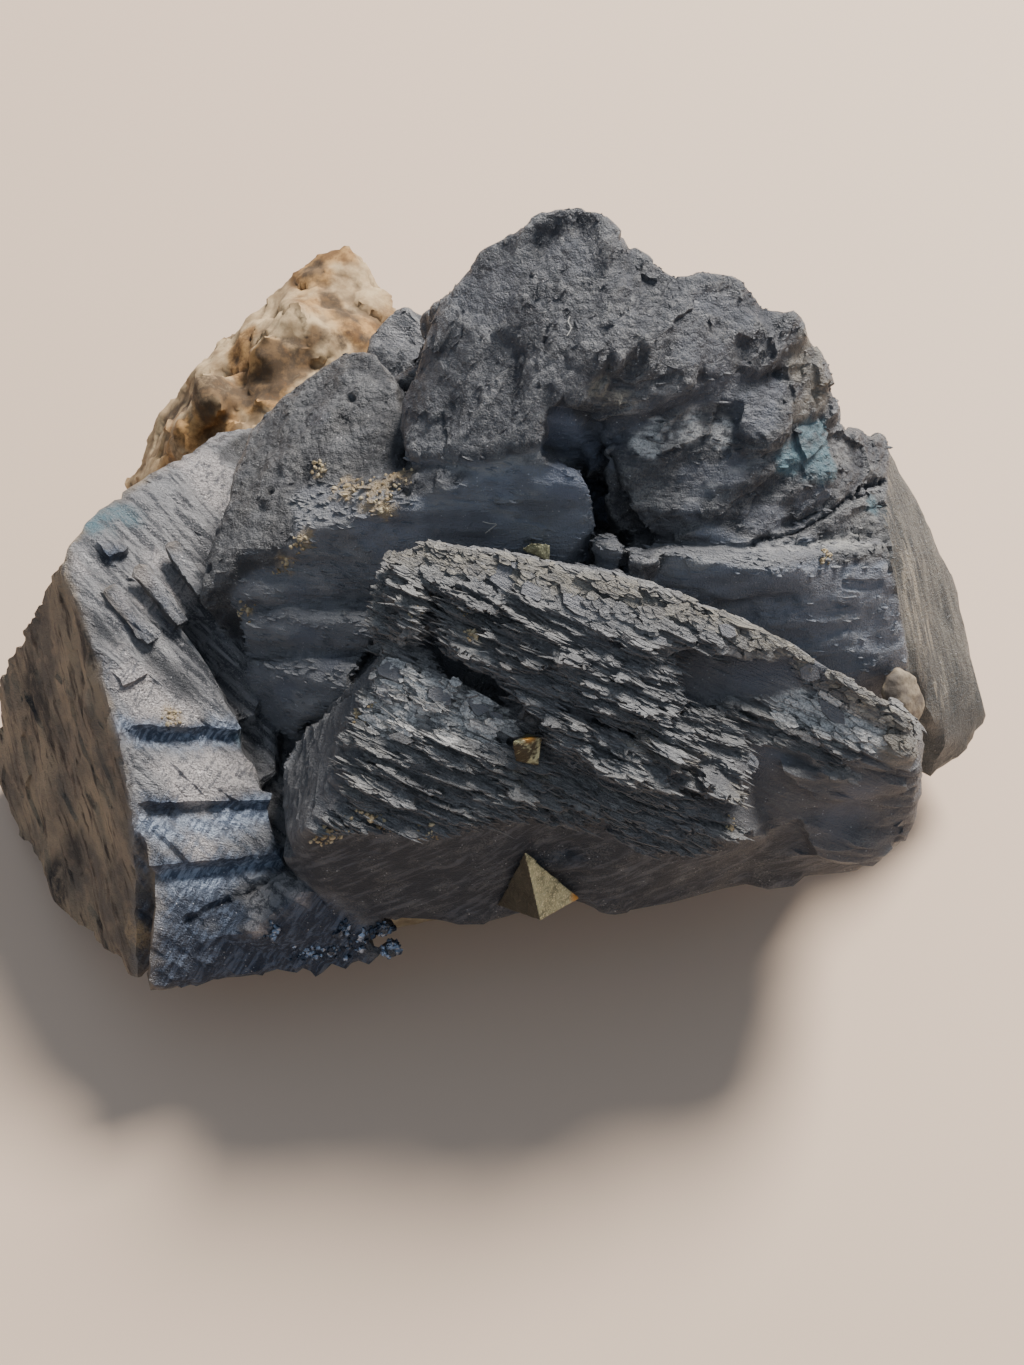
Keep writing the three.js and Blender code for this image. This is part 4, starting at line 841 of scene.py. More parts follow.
for name, values in marks.items():
    give_attribute(cluster, name, values)
give_attribute(cluster, "edge", np.clip(0.5 + edge * 4, 0, 1))
seen = sum(zone[name] for name in ("level", "stepped", "steep", "lined", "pitted", "blocky"))
seen += 0.7 * (zone["ribbed"] + zone["dark_face"])
keep = np.round(np.clip(1 - 0.8 * seen, 0.1, 1) * 8) / 8
cluster = after_modifier(cluster, "DECIMATE", group=keep, vertex_group_factor=4.0,
                         ratio=CLUSTER_TRIANGLES / (2 * len(cluster.polygons)))

# what the growth shows on every crystal: streaks along its lines, and fine sparkling grit


def streaks_group():
    """Noise drawn out along one direction."""
    group = bpy.data.node_groups.new("growth_streaks", "ShaderNodeTree")
    along = group.interface.new_socket("Along", in_out="INPUT", socket_type="NodeSocketVector")
    along.default_value = (1, 0, 0)
    for name, value in (("Length", 0.002), ("Width", 0.0003), ("Shift", 0.0)):
        socket = group.interface.new_socket(name, in_out="INPUT", socket_type="NodeSocketFloat")
        socket.default_value = value
    group.interface.new_socket("Streaks", in_out="OUTPUT", socket_type="NodeSocketFloat")
    add = wired(group)
    given = add("NodeGroupInput").outputs
    place = add("ShaderNodeTexCoord").outputs["Object"]
    dot = add("ShaderNodeVectorMath", {"operation": "DOT_PRODUCT"}, _0=place, _1=given["Along"])
    per_length = calculate(add, "DIVIDE", 1.0, given["Length"])
    per_width = calculate(add, "DIVIDE", 1.0, given["Width"])
    squeeze = times(add, dot.outputs["Value"], calculate(add, "SUBTRACT", per_length, per_width))
    small = add("ShaderNodeVectorMath", {"operation": "SCALE"}, _0=place, Scale=per_width).outputs[0]
    pull = add("ShaderNodeVectorMath", {"operation": "SCALE"}, _0=given["Along"], Scale=squeeze).outputs[0]
    drawn = add("ShaderNodeVectorMath", {"operation": "ADD"}, _0=small, _1=pull).outputs[0]
    wave = add("ShaderNodeTexNoise", {"noise_dimensions": "4D"}, Vector=drawn, W=given["Shift"], Scale=1.0,
               Detail=4.0, Roughness=0.6).outputs["Fac"]
    end = group.nodes.new("NodeGroupOutput")
    group.links.new(wave, end.inputs["Streaks"])
    return group


def grit_group():
    """Fine uneven grit, and the few grains of it that sparkle."""
    group = bpy.data.node_groups.new("sparkling_grit", "ShaderNodeTree")
    for name, value in (("Grain", 0.0003), ("Share", 0.06)):
        socket = group.interface.new_socket(name, in_out="INPUT", socket_type="NodeSocketFloat")
        socket.default_value = value
    for name in ("Grit", "Sparkle"):
        group.interface.new_socket(name, in_out="OUTPUT", socket_type="NodeSocketFloat")
    add = wired(group)
    given = add("NodeGroupInput").outputs
    place = add("ShaderNodeTexCoord").outputs["Object"]
    scale = calculate(add, "DIVIDE", 1.0, given["Grain"])
    grit = add("ShaderNodeTexNoise", Vector=place, Scale=scale, Detail=3.0, Roughness=0.65).outputs["Fac"]
    grains = add("ShaderNodeTexVoronoi", Vector=place, Scale=scale)
    part = add("ShaderNodeSeparateColor", Color=grains.outputs["Color"]).outputs[0]
    chosen = calculate(add, "LESS_THAN", part, given["Share"])
    near = calculate(add, "LESS_THAN", calculate(add, "ADD", grains.outputs["Distance"], grit), 0.85)
    end = group.nodes.new("NodeGroupOutput")
    group.links.new(grit, end.inputs["Grit"])
    group.links.new(times(add, chosen, near), end.inputs["Sparkle"])
    return group


GRIT_GRAIN = 0.00016


def streaks(add, along, length, width, shift=0.0):
    node = add("ShaderNodeGroup", {"node_tree": streaks_tree},
               Along=along, Length=length, Width=width, Shift=shift)
    return node.outputs["Streaks"]


streaks_tree = streaks_group()
grit_tree = grit_group()
BASE_COLOURS = {
    "dark_face": (0.2, 0.22, 0.262), "underside": (0.024, 0.0285, 0.0375), "smooth": (0.086, 0.087, 0.095),
    "lined": (0.165, 0.169, 0.184), "pitted": (0.056, 0.055, 0.057), "ribbed": (0.068, 0.071, 0.082),
    "blocky": (0.056, 0.059, 0.068),
}
RISER_GREY = (0.1, 0.1, 0.104)
FACET_BLUE = (0.13, 0.14, 0.166)
CLIMBING_GREY = (0.082, 0.087, 0.1)
GRIT_GREY = (0.19, 0.185, 0.175)
GRAIN_BLACK = (0.028, 0.029, 0.034)
COOL_DUST, WARM_DUST = (0.3, 0.3, 0.302), (0.36, 0.35, 0.325)
REAR_DUST, PAINTED_LIGHT_DUST, RIM_DUST = (0.235, 0.24, 0.252), (0.78, 0.76, 0.72), (0.36, 0.325, 0.26)
EDGE_GREY = (0.21, 0.208, 0.204)
PLATE_GREY = (0.185, 0.186, 0.197)
CLEAVAGE_DARK, CLEAVAGE_LIGHT = (0.073, 0.076, 0.084), (0.26, 0.257, 0.26)
CLEAVAGE_GRIT = (0.34, 0.325, 0.325)
SHADE_DARK_BLUE, MIDDLE_BLUE, SILVER_BLUE = (0.034, 0.043, 0.064), (0.1, 0.125, 0.175), (0.36, 0.42, 0.52)
REFLECTION_PINK_GREY, REFLECTION_PINK_WHITE, HATCHED_GREY = (0.2, 0.185, 0.18), (0.5, 0.46, 0.445), (0.17, 0.165, 0.17)
SLOT_GREY = (0.045, 0.047, 0.052)
DARK_RUST_BROWN, LIGHT_RUST, RUST_LINE = (0.125, 0.104, 0.082), (0.32, 0.245, 0.16), (0.06, 0.043, 0.032)
RUST_SPECK, RUST_SHADE_BLACK = (0.3, 0.22, 0.15), (0.03, 0.026, 0.024)
DARK_OLIVE, LIGHT_OLIVE, OLIVE_PATCH = (0.05, 0.056, 0.058), (0.15, 0.147, 0.128), (0.05, 0.058, 0.06)
TAN_LINE = (0.27, 0.24, 0.19)
# the blue on the deep faces is painted light
PATCH_COLOURS = {
    "teal": ((0.1, 0.17, 0.2), 0.3, 0.6), "tan": ((0.21, 0.19, 0.16), 0.3, 0.6),
    "ochre": ((0.36, 0.27, 0.16), 0.4, 0.6), "deep": ((0.17, 0.19, 0.24), 0.2, 0.55),
}
CREVICE_SHADE_BLACK = (0.018, 0.019, 0.023)
SPARKLE = (0.5, 0.5, 0.51)

crystal, crystal_shader, add = new_material("black_sphalerite")
place = add("ShaderNodeTexCoord").outputs["Object"]
medium = surface_noise(add, 520.0, 6.0, 0.7)
broad_noise = surface_noise(add, 120.0)
grit_node = add("ShaderNodeGroup", {"node_tree": grit_tree}, Grain=GRIT_GRAIN, Share=0.035)
grit = grit_node.outputs["Grit"]
growth = streaks(add, GROWTH_LINE, 0.0022, 0.00022)
level_streaks = streaks(add, LEVEL_WAY, 0.003, 0.0004, 2.0)
lines = mix_colour(add, attribute(add, "bark"), level_streaks, growth)
isotropic = calculate(add, "ADD", attribute(add, "ribbed"), attribute(add, "pitted"))
lines = mix_colour(add, isotropic, lines, medium)
crumbly = calculate(add, "ADD", isotropic, attribute(add, "blocky"))

base = RISER_GREY
for mark, colour in BASE_COLOURS.items():
    base = marked(add, base, mark, colour)
# bare facets and the painted shade bands take the plain blue-black
base = marked(add, base, "bare", FACET_BLUE, remap(add, isotropic, 0.0, 1.0, 0.85, 0.35))
climbing = remap(add, streaks(add, CLIMBING_WAY, 0.004, 0.0005, 3.0), 0.48, 0.62)
base = marked(add, base, "underside", CLIMBING_GREY, climbing)
grey_grit = times(add, remap(add, medium, 0.45, 0.62), remap(add, grit, 0.42, 0.6))
matt = 0.55
for mark, less in (("bark", 0.22), ("underside", 0.12), ("bare", 0.25)):
    matt = calculate(add, "SUBTRACT", matt, times(add, attribute(add, mark), less))
base = mix_colour(add, times(add, grey_grit, matt), base, GRIT_GREY)
mottled = calculate(add, "SUBTRACT", 1.0, remap(add, medium, 0.38, 0.54))
mottled = times(add, mottled, remap(add, crumbly, 0.0, 1.0, 0.12, 0.5))
base = mix_colour(add, mottled, base, GRAIN_BLACK)

dust_here = times(add, attribute(add, "dust"), remap(add, lines, 0.38, 0.54, 0.3, 1.0))
dust_here = times(add, dust_here, remap(add, grit, 0.3, 0.6, 0.4, 1.0))
dust_colour = mix_colour(add, remap(add, broad_noise, 0.4, 0.65), COOL_DUST, WARM_DUST)
dust_colour = mix_colour(add, isotropic, dust_colour, REAR_DUST)
# painted light: near-white dust on the marked tops
dust_colour = marked(add, dust_colour, "light", PAINTED_LIGHT_DUST)
dust_colour = marked(add, dust_colour, "rim", RIM_DUST)
base = mix_colour(add, dust_here, base, dust_colour)
worn = times(add, remap(add, attribute(add, "edge"), 0.58, 0.8), remap(add, grit, 0.35, 0.6))
base = mix_colour(add, times(add, worn, 0.5), base, EDGE_GREY)
base = marked(add, base, "plate", PLATE_GREY)

cleavage = streaks(add, CLEAVAGE_WAY, 0.006, 0.0006, 5.0)
hatching = streaks(add, (0.5, 0.75, 0.4), 0.004, 0.00035, 6.0)
silvery = mix_colour(add, remap(add, cleavage, 0.42, 0.56), CLEAVAGE_DARK, CLEAVAGE_LIGHT)
silvery = mix_colour(add, times(add, remap(add, grit, 0.52, 0.66), 0.7), silvery, CLEAVAGE_GRIT)
# painted shade with a bluish sheen on the slab's front faces
blue = mix_colour(add, remap(add, hatching, 0.45, 0.62), SHADE_DARK_BLUE, MIDDLE_BLUE)
silvery = marked(add, silvery, "blue", blue)
# painted glint
glint = mix_colour(add, remap(add, hatching, 0.42, 0.6), MIDDLE_BLUE, SILVER_BLUE)
silvery = marked(add, silvery, "glint", glint)
# painted reflection in pinkish white
bright = mix_colour(add, remap(add, grit, 0.3, 0.6), REFLECTION_PINK_GREY, REFLECTION_PINK_WHITE)
bright = mix_colour(add, remap(add, hatching, 0.5, 0.62), bright, HATCHED_GREY)
silvery = marked(add, silvery, "bright", bright)
silvery = marked(add, silvery, "slot", SLOT_GREY)
base = marked(add, base, "silver", silvery)

rust_lines = streaks(add, RUST_WAY, 0.007, 0.0008, 7.0)
rust = mix_colour(add, remap(add, broad_noise, 0.38, 0.62), DARK_RUST_BROWN, LIGHT_RUST)
rust = mix_colour(add, remap(add, rust_lines, 0.5, 0.64), rust, RUST_LINE)
rust = mix_colour(add, times(add, remap(add, medium, 0.5, 0.64), 0.5), rust, RUST_SPECK)
# painted shade on the rusty side
rust = marked(add, rust, "soot", RUST_SHADE_BLACK, remap(add, medium, 0.3, 0.55))
base = marked(add, base, "rusty", rust)

side_lines = streaks(add, SIDE_WAY, 0.009, 0.0004, 9.0)
olive = mix_colour(add, remap(add, side_lines, 0.35, 0.65), DARK_OLIVE, LIGHT_OLIVE)
olive = mix_colour(add, remap(add, broad_noise, 0.45, 0.6), olive, OLIVE_PATCH)
olive = marked(add, olive, "side_edge", TAN_LINE, remap(add, side_lines, 0.5, 0.62))
base = marked(add, base, "streaked", olive)
for mark, (colour, low, high) in PATCH_COLOURS.items():
    base = marked(add, base, mark, colour, remap(add, medium, low, high))
# painted shade: the crevices are darkened towards black
base = marked(add, base, "hollow", CREVICE_SHADE_BLACK, 0.4)
# painted sparkle: a few grit grains are coloured light grey as glints
sparkle = times(add, grit_node.outputs["Sparkle"], remap(add, attribute(add, "rusty"), 0.1, 0.5, 0.7, 0.0))
base = mix_colour(add, times(add, sparkle, remap(add, medium, 0.42, 0.6)), base, SPARKLE)
feed(crystal_shader, "Base Color", base)
feed(crystal_shader, "Metallic", times(add, attribute(add, "silver"), 0.35))
shine = mix_colour(add, dust_here, (0.4, 0.4, 0.4), (0.8, 0.8, 0.8))
for mark, level in (("underside", 0.55), ("rusty", 0.8), ("silver", 0.4)):
    shine = marked(add, shine, mark, (level, level, level))
feed(crystal_shader, "Roughness", shine)
relief = calculate(add, "ADD", times(add, lines, 1.2), grit)
relief = calculate(add, "ADD", relief, medium)
crumb = add("ShaderNodeTexVoronoi", Vector=place, Scale=1500.0, Randomness=1.0).outputs["Distance"]
relief = calculate(add, "SUBTRACT", relief, times(add, crumb, times(add, crumbly, 1.1)))
bumpy(add, crystal_shader, relief, 1.0, 0.00026)
finished_piece(cluster, "sphalerite_crystals", "sphalerite_cluster", crystal, 42)

# Growth flakes
# Splintery ends of the crystals' growth layers: thin plates of sphalerite that stick out of the front
# faces like shingles, each dusty on top and black on its broken front edge.

FLAKE_CORNERS = 6
EDGE_DUST = 0.3
SHELF_FLAKES = 9900
LONG_SHARE = 0.3
SCALE_FLAKES = 4000
SMOOTH_PLATES = [
    (505, 578, 3.0, 2.2), (532, 592, 2.2, 1.4), (573, 602, 2.8, 1.5), (598, 612, 2.0, 1.4),
    (618, 630, 2.2, 1.0), (727, 630, 1.5, 1.2), (395, 672, 2.6, 1.6), (385, 692, 1.8, 1.2),
    (438, 698, 2.6, 1.6), (478, 712, 2.4, 1.5), (500, 712, 1.4, 1.0), (830, 712, 2.8, 1.4),
    (808, 674, 2.0, 1.4), (352, 780, 1.4, 1.3), (520, 566, 2.0, 1.0), (660, 640, 1.6, 0.9),
]
chooser = np.random.default_rng(5)


def scattered(share, count):
    """Corners of the cluster's surface picked by chance, more of them where the share is larger."""
    return chooser.choice(len(points), count, replace=False, p=share / share.sum())


def jittered(direction, count, amount):
    return np.asarray(direction, float) + chooser.normal(0, amount, (count, 3))


def flake_solids(places, along, out, sizes):
    """The corners of one thin ragged plate at each place: its upper ring, then its lower one."""
    out = out / np.linalg.norm(out, axis=1)[:, None]
    along = along - out * (along * out).sum(axis=1)[:, None]
    along = along / np.linalg.norm(along, axis=1)[:, None]
    across = np.cross(out, along)
    count = len(places)
    angle = np.arange(FLAKE_CORNERS) * 2 * np.pi / FLAKE_CORNERS
    angle = angle + chooser.uniform(-0.35, 0.35, (count, FLAKE_CORNERS))
    radius = chooser.uniform(0.68, 1.15, (count, FLAKE_CORNERS))
    x, y = np.cos(angle) * radius, np.sin(angle) * radius
    rings = []
    for level, share in ((0.5, 0.92), (-0.5, 1.0)):
        ring = places[:, None, :] + along[:, None, :] * (x * sizes[:, 0:1] / 2 * share)[:, :, None]
        ring = ring + across[:, None, :] * (y * sizes[:, 1:2] / 2 * share)[:, :, None]
        rings.append(ring + out[:, None, :] * (sizes[:, 2:3] * level)[:, :, None])
    return np.concatenate(rings, axis=1)


def kept_on_surface(spots, along, lengths):
    """Lengths made shorter where a flake would stand out endways."""
    endways = np.abs(broad[spots] @ unit(along))
    return lengths * np.sqrt(1 - np.minimum(endways, 0.98) ** 2) ** 1.5 + 0.15


def nearest_corner(x, y):
    """The cluster's corner at this pixel of the photograph."""
    return ((points - seen_at(x, y)[0]) ** 2).sum(axis=1).argmin()


def flake_sizes(spots, along, length, widths, thicknesses):
    lengths = np.exp(chooser.normal(np.log(length), 0.35, len(spots)))
    return np.stack([kept_on_surface(spots, along, lengths), chooser.uniform(*widths, len(spots)),
                     chooser.uniform(*thicknesses, len(spots))], axis=1)


def ring_faces(count):
    """Faces of each plate: its top, its underside and its edge, in that order."""
    faces = []
    for number in range(count):
        top = [number * 2 * FLAKE_CORNERS + k for k in range(FLAKE_CORNERS)]
        under = [k + FLAKE_CORNERS for k in top]
        faces.append(top)
        faces.append(under[::-1])
        faces += [(top[k - 1], under[k - 1], under[k], top[k]) for k in range(FLAKE_CORNERS)]
    return faces


def give_face_attribute(mesh, name, values):
    attribute = mesh.attributes.new(name, "FLOAT", "FACE")
    attribute.data.foreach_set("value", values.astype(np.float32))


def scattered_piece(name, solids, faces, spots, values, material):
    """Many small solids as one piece, which take the marks of the surface under them."""
    mesh = bpy.data.meshes.new(name)
    mesh.from_pydata(solids.reshape(-1, 3), [], faces)
    each = len(faces) // len(solids)
    for mark in marks:
        if mark not in values:
            give_face_attribute(mesh, mark, np.repeat(marks[mark][spots], each))
    for mark in values:
        give_face_attribute(mesh, mark, values[mark])
    mesh.transform(Matrix.Scale(MILLIMETRE, 4))
    mesh.materials.append(material)
    piece = placed(name, mesh)
    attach(piece, "root")


def on_tops(values):
    """Each plate's value on its top face, a part of it on its edge, and nothing below."""
    return (values[:, None] * np.array([1.0, 0.0] + [EDGE_DUST] * FLAKE_CORNERS)).ravel()


local = turned(points, GROWTH_LINE, SHELF_NORMAL)
crowd = smooth_step(noise(local, (6.0, 1.7, 1.7), 401), -0.45, 0.35)
spots = scattered((zone["stepped"] + 0.55 * zone["steep"]) * (0.28 + crowd) * (1 - hollow)
                  * (1 - bare), SHELF_FLAKES)
sizes = flake_sizes(spots, GROWTH_LINE, 1.1, (0.22, 0.55), (0.05, 0.12))
sizes[chooser.random(len(spots)) < LONG_SHARE] *= (1.9, 0.6, 0.75)
solids = flake_solids(points[spots] - 0.05 * broad[spots], jittered(unit(GROWTH_LINE), len(spots), 0.1),
                      jittered(unit(SHELF_NORMAL), len(spots), 0.1), sizes)
tops = on_tops(chooser.uniform(0.4, 1.0, len(spots)) * (0.6 + 0.4 * crowd[spots]))
scattered_piece("shelf_flakes", solids, ring_faces(len(spots)), spots,
                {"dust": tops, "plate": tops * 0}, crystal)

spots = scattered(zone["level"] * (1 - hollow) * (1 - bare), SCALE_FLAKES)
sizes = flake_sizes(spots, GROWTH_LINE, 1.2, (0.4, 0.95), (0.08, 0.17))
outward = 0.6 * broad[spots] + 0.4 * unit(ROOF_NORMAL) + chooser.normal(0, 0.08, (len(spots), 3))
scales = flake_solids(points[spots] + 0.02 * broad[spots], jittered(unit(GROWTH_LINE), len(spots), 0.2),
                      outward, sizes)
plate_spots = np.array([nearest_corner(x, y) for x, y, length, width in SMOOTH_PLATES])
plate_sizes = np.array([(length, width, 0.2) for x, y, length, width in SMOOTH_PLATES])
outward = 0.5 * broad[plate_spots] + 0.5 * unit(ROOF_NORMAL)
plates = flake_solids(points[plate_spots] + 0.12 * broad[plate_spots],
                      jittered(unit(GROWTH_LINE), len(plate_spots), 0.1), outward, plate_sizes)
spots = np.concatenate([spots, plate_spots])
is_plate = np.arange(len(spots)) >= SCALE_FLAKES
# scales on the painted light tops carry more dust
scale_dust = np.maximum(chooser.uniform(0.35, 1.0, len(spots)), 0.95 * marks["light"][spots])
tops = on_tops(np.where(is_plate, 0, scale_dust))
scattered_piece("roof_scales", np.concatenate([scales, plates]), ring_faces(len(spots)), spots,
                {"dust": tops, "plate": on_tops(is_plate * 1.0)}, crystal)

# Broken lines and crumbs
# Short broken ends of layers on the middle crystals, and the crumbs of sphalerite and dust that
# cover the pitted, ribbed and blocky ones. They are all parts of the same grown mass.

LINE_FLAKES = 4600
CRUMBS = 3000
share = zone["lined"] + 0.25 * zone["dark_face"] + 0.15 * zone["blocky"]
spots = scattered(share * (1 - hollow) * (1 - bare), LINE_FLAKES)
sizes = flake_sizes(spots, LEVEL_WAY, 0.9, (0.2, 0.5), (0.05, 0.13))
solids = flake_solids(points[spots] - 0.04 * broad[spots], jittered(LEVEL_WAY, len(spots), 0.15),
                      jittered((0.05, -0.05, 1), len(spots), 0.16), sizes)
tops = on_tops(chooser.uniform(0.0, 0.6, len(spots)))
scattered_piece("line_flakes", solids, ring_faces(len(spots)), spots,
                {"dust": tops, "plate": tops * 0}, crystal)

round_mesh = bmesh.new()
bmesh.ops.create_icosphere(round_mesh, subdivisions=1, radius=1)
crumb_corners = np.array([corner.co for corner in round_mesh.verts])
crumb_faces = np.array([[corner.index for corner in face.verts] for face in round_mesh.faces])
round_mesh.free()


def crumb_solids(places, sizes):
    """One uneven crumb at each place."""
    count = len(places)
    shapes = crumb_corners[None] * chooser.uniform(0.65, 1.15, (count, len(crumb_corners), 1))
    shapes = shapes * chooser.uniform(0.6, 1.1, (count, 1, 3))
    turn = np.linalg.qr(chooser.normal(0, 1, (count, 3, 3)))[0]
    turn[:, :, 0] *= np.linalg.det(turn)[:, None]
    return places[:, None] + np.einsum("nij,nkj->nki", turn, shapes) * (sizes / 2)[:, None, None]


def crumb_face_list(count):
    shift = (np.arange(count) * len(crumb_corners))[:, None, None]
    return (crumb_faces[None] + shift).reshape(-1, 3).tolist()


share = zone["pitted"] + 0.3 * zone["ribbed"] + 0.4 * zone["blocky"]
crowd = smooth_step(rough(points, 2.5, 411, 2), -0.3, 0.4)
spots = scattered(share * (0.15 + crowd) * (1 - bare), CRUMBS)
sizes = np.exp(chooser.normal(np.log(0.34), 0.3, len(spots)))
solids = crumb_solids(points[spots] - 0.12 * broad[spots], sizes)
values = np.repeat(chooser.uniform(0.0, 0.3, len(spots)) + 0.6 * dust[spots], len(crumb_faces))
scattered_piece("crumbs", solids, crumb_face_list(len(spots)), spots,
                {"dust": values, "plate": values * 0}, crystal)

RIB_FLAKES = 4600
spots = scattered((zone["ribbed"] + 0.5 * zone["pitted"] + 0.3 * zone["blocky"]) * (1 - bare), RIB_FLAKES)
sizes = flake_sizes(spots, RIB_WAY, 0.6, (0.2, 0.42), (0.04, 0.09))
outward = broad[spots] + chooser.normal(0, 0.11, (len(spots), 3))
solids = flake_solids(points[spots] - 0.02 * broad[spots], jittered(RIB_WAY, len(spots), 0.35),
                      outward, sizes)
tops = on_tops(np.clip(dust[spots] + chooser.uniform(-0.15, 0.2, len(spots)), 0, 1))
scattered_piece("rib_flakes", solids, ring_faces(len(spots)), spots,
                {"dust": tops, "plate": tops * 0}, crystal)

# Crusts, beads and lint
# Pale yellow and beige crusts of carbonate sit in a few corners of the front crystals and on the middle
# one, a row of shiny beads of sphalerite hangs at the lower left, and three lint fibres cling to it.

CRUST_SPOTS = [
    (320, 838, 1.2), (335, 830, 1.0), (355, 822, 1.3), (372, 818, 1.3), (384, 822, 0.9), (428, 832, 1.1),
    (360, 722, 1.2), (366, 705, 0.9), (466, 606, 0.9), (414, 615, 0.7), (730, 822, 0.6), (828, 556, 0.8),
    (345, 488, 1.6), (372, 492, 1.6), (398, 478, 1.6), (386, 504, 1.3), (318, 468, 0.9), (300, 545, 0.9),
    (284, 566, 1.2), (250, 610, 1.3), (172, 716, 0.9), (470, 640, 0.9),
]
BEAD_SPOTS = [
    (300, 955, 1.4), (325, 950, 1.5), (345, 948, 1.5), (360, 938, 1.3), (375, 930, 1.2), (270, 930, 0.9),
    (345, 930, 1.2), (390, 947, 1.0), (397, 949, 0.9), (384, 930, 1.0),
]


def heaps(spots_and_radii, per_heap):
    """Corners of the surface close to each named pixel, picked by chance."""
    picked = []
    for x, y, radius in spots_and_radii:
        gap = np.linalg.norm(points - seen_at(x, y)[0], axis=1)
        close = np.flatnonzero(gap < radius)
        chance_of = np.exp(-2 * (gap[close] / radius) ** 2)
        count = min(per_heap, len(close))
        picked.append(chooser.choice(close, count, replace=False, p=chance_of / chance_of.sum()))
    return np.concatenate(picked)


crust, crust_shader, add = new_material("pale_crust")
crust_noise = surface_noise(add, 900.0, 5.0, 0.7)
crust_colour = mix_colour(add, remap(add, crust_noise, 0.35, 0.65), (0.17, 0.12, 0.06), (0.5, 0.42, 0.27))
feed(crust_shader, "Base Color", marked(add, crust_colour, "tone", (0.38, 0.27, 0.14)))
crust_shader.inputs["Roughness"].default_value = 0.75
bumpy(add, crust_shader, crust_noise, 0.5, 0.00008)
spots = heaps(CRUST_SPOTS, 16)
sizes = np.exp(chooser.normal(np.log(0.34), 0.35, len(spots)))
solids = crumb_solids(points[spots] + 0.02 * broad[spots], sizes)
tone = np.repeat(chooser.uniform(0, 0.7, len(spots)) ** 2, len(crumb_faces))
scattered_piece("crust_grains", solids, crumb_face_list(len(spots)), spots, {"tone": tone}, crust)

beads, beads_shader, add = new_material("shiny_beads")
bead_noise = surface_noise(add, 900.0, 4.0)
bead_colour = mix_colour(add, remap(add, bead_noise, 0.4, 0.65), (0.03, 0.04, 0.06), (0.3, 0.36, 0.46))
feed(beads_shader, "Base Color", bead_colour)
beads_shader.inputs["Metallic"].default_value = 0.6
beads_shader.inputs["Roughness"].default_value = 0.25
spots = heaps(BEAD_SPOTS, 14)
sizes = np.exp(chooser.normal(np.log(0.6), 0.3, len(spots)))
solids = crumb_solids(points[spots], sizes)
scattered_piece("shiny_granules", solids, crumb_face_list(len(spots)), spots, {}, beads)

LINT = [
    ([(476, 658), (480, 662), (488, 663), (492, 659), (487, 655), (479, 655)], 0.035),
    ([(572, 318), (568, 324), (571, 330), (567, 336)], 0.04),
    ([(484, 521), (490, 524), (497, 524), (490, 528), (486, 532)], 0.035),
]
TUBE_SIDES = 6


def tube_through(places, radius):
    """A thin closed tube along a smooth path through these places, and its faces."""
    places = np.array(places)
    steps = np.linspace(0, len(places) - 1, (len(places) - 1) * 5 + 1)
    path = np.stack([np.interp(steps, np.arange(len(places)), places[:, k]) for k in range(3)], axis=1)
    for _ in range(3):
        path[1:-1] = (path[:-2] + 2 * path[1:-1] + path[2:]) / 4
    ahead = np.gradient(path, axis=0)
    ahead /= np.linalg.norm(ahead, axis=1)[:, None]
    side = np.cross(ahead, (0.1, 0.2, 1.0))
    side /= np.linalg.norm(side, axis=1)[:, None]
    up = np.cross(side, ahead)
    turn = np.arange(TUBE_SIDES) * 2 * np.pi / TUBE_SIDES
    corners = path[:, None] + radius * (np.cos(turn)[None, :, None] * side[:, None]
                                        + np.sin(turn)[None, :, None] * up[:, None])
    faces = [list(range(TUBE_SIDES))]
    faces.append([(len(path) - 1) * TUBE_SIDES + k for k in range(TUBE_SIDES)][::-1])
    for row in range(len(path) - 1):
        for k in range(TUBE_SIDES):
            here, after = row * TUBE_SIDES + k, row * TUBE_SIDES + (k + 1) % TUBE_SIDES
            faces.append([here, here + TUBE_SIDES, after + TUBE_SIDES, after])
    return corners.reshape(-1, 3).tolist(), faces


lint_corners, lint_faces = [], []
for pixels, radius in LINT:
    rests = []
    for x, y in pixels:
        spot = nearest_corner(x, y)
        rests.append(points[spot] + broad[spot] * 0.15)
    corners, faces = tube_through(rests, radius)
    lint_faces += [[corner + len(lint_corners) for corner in face] for face in faces]
    lint_corners += corners
lint_mesh = bpy.data.meshes.new("lint")
lint_mesh.from_pydata(lint_corners, [], lint_faces)
lint_mesh.transform(Matrix.Scale(MILLIMETRE, 4))
lint_stuff, lint_shader, add = new_material("lint_fibre")
lint_noise = surface_noise(add, 2500.0, 2.0, 0.5)
feed(lint_shader, "Base Color", mix_colour(add, lint_noise, (0.35, 0.33, 0.3), (0.6, 0.58, 0.54)))
lint_shader.inputs["Roughness"].default_value = 0.6
lint_mesh.materials.append(lint_stuff)
lint = placed("lint", lint_mesh)
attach(lint, "root")

# Brassy chalcopyrite crystals
# Three small tetrahedra of chalcopyrite, copper iron sulphide, that grew on the sphalerite. They are
# brassy, with painted shade in dark olive brown on their faces turned to the left, and orange on an edge or
# tip.

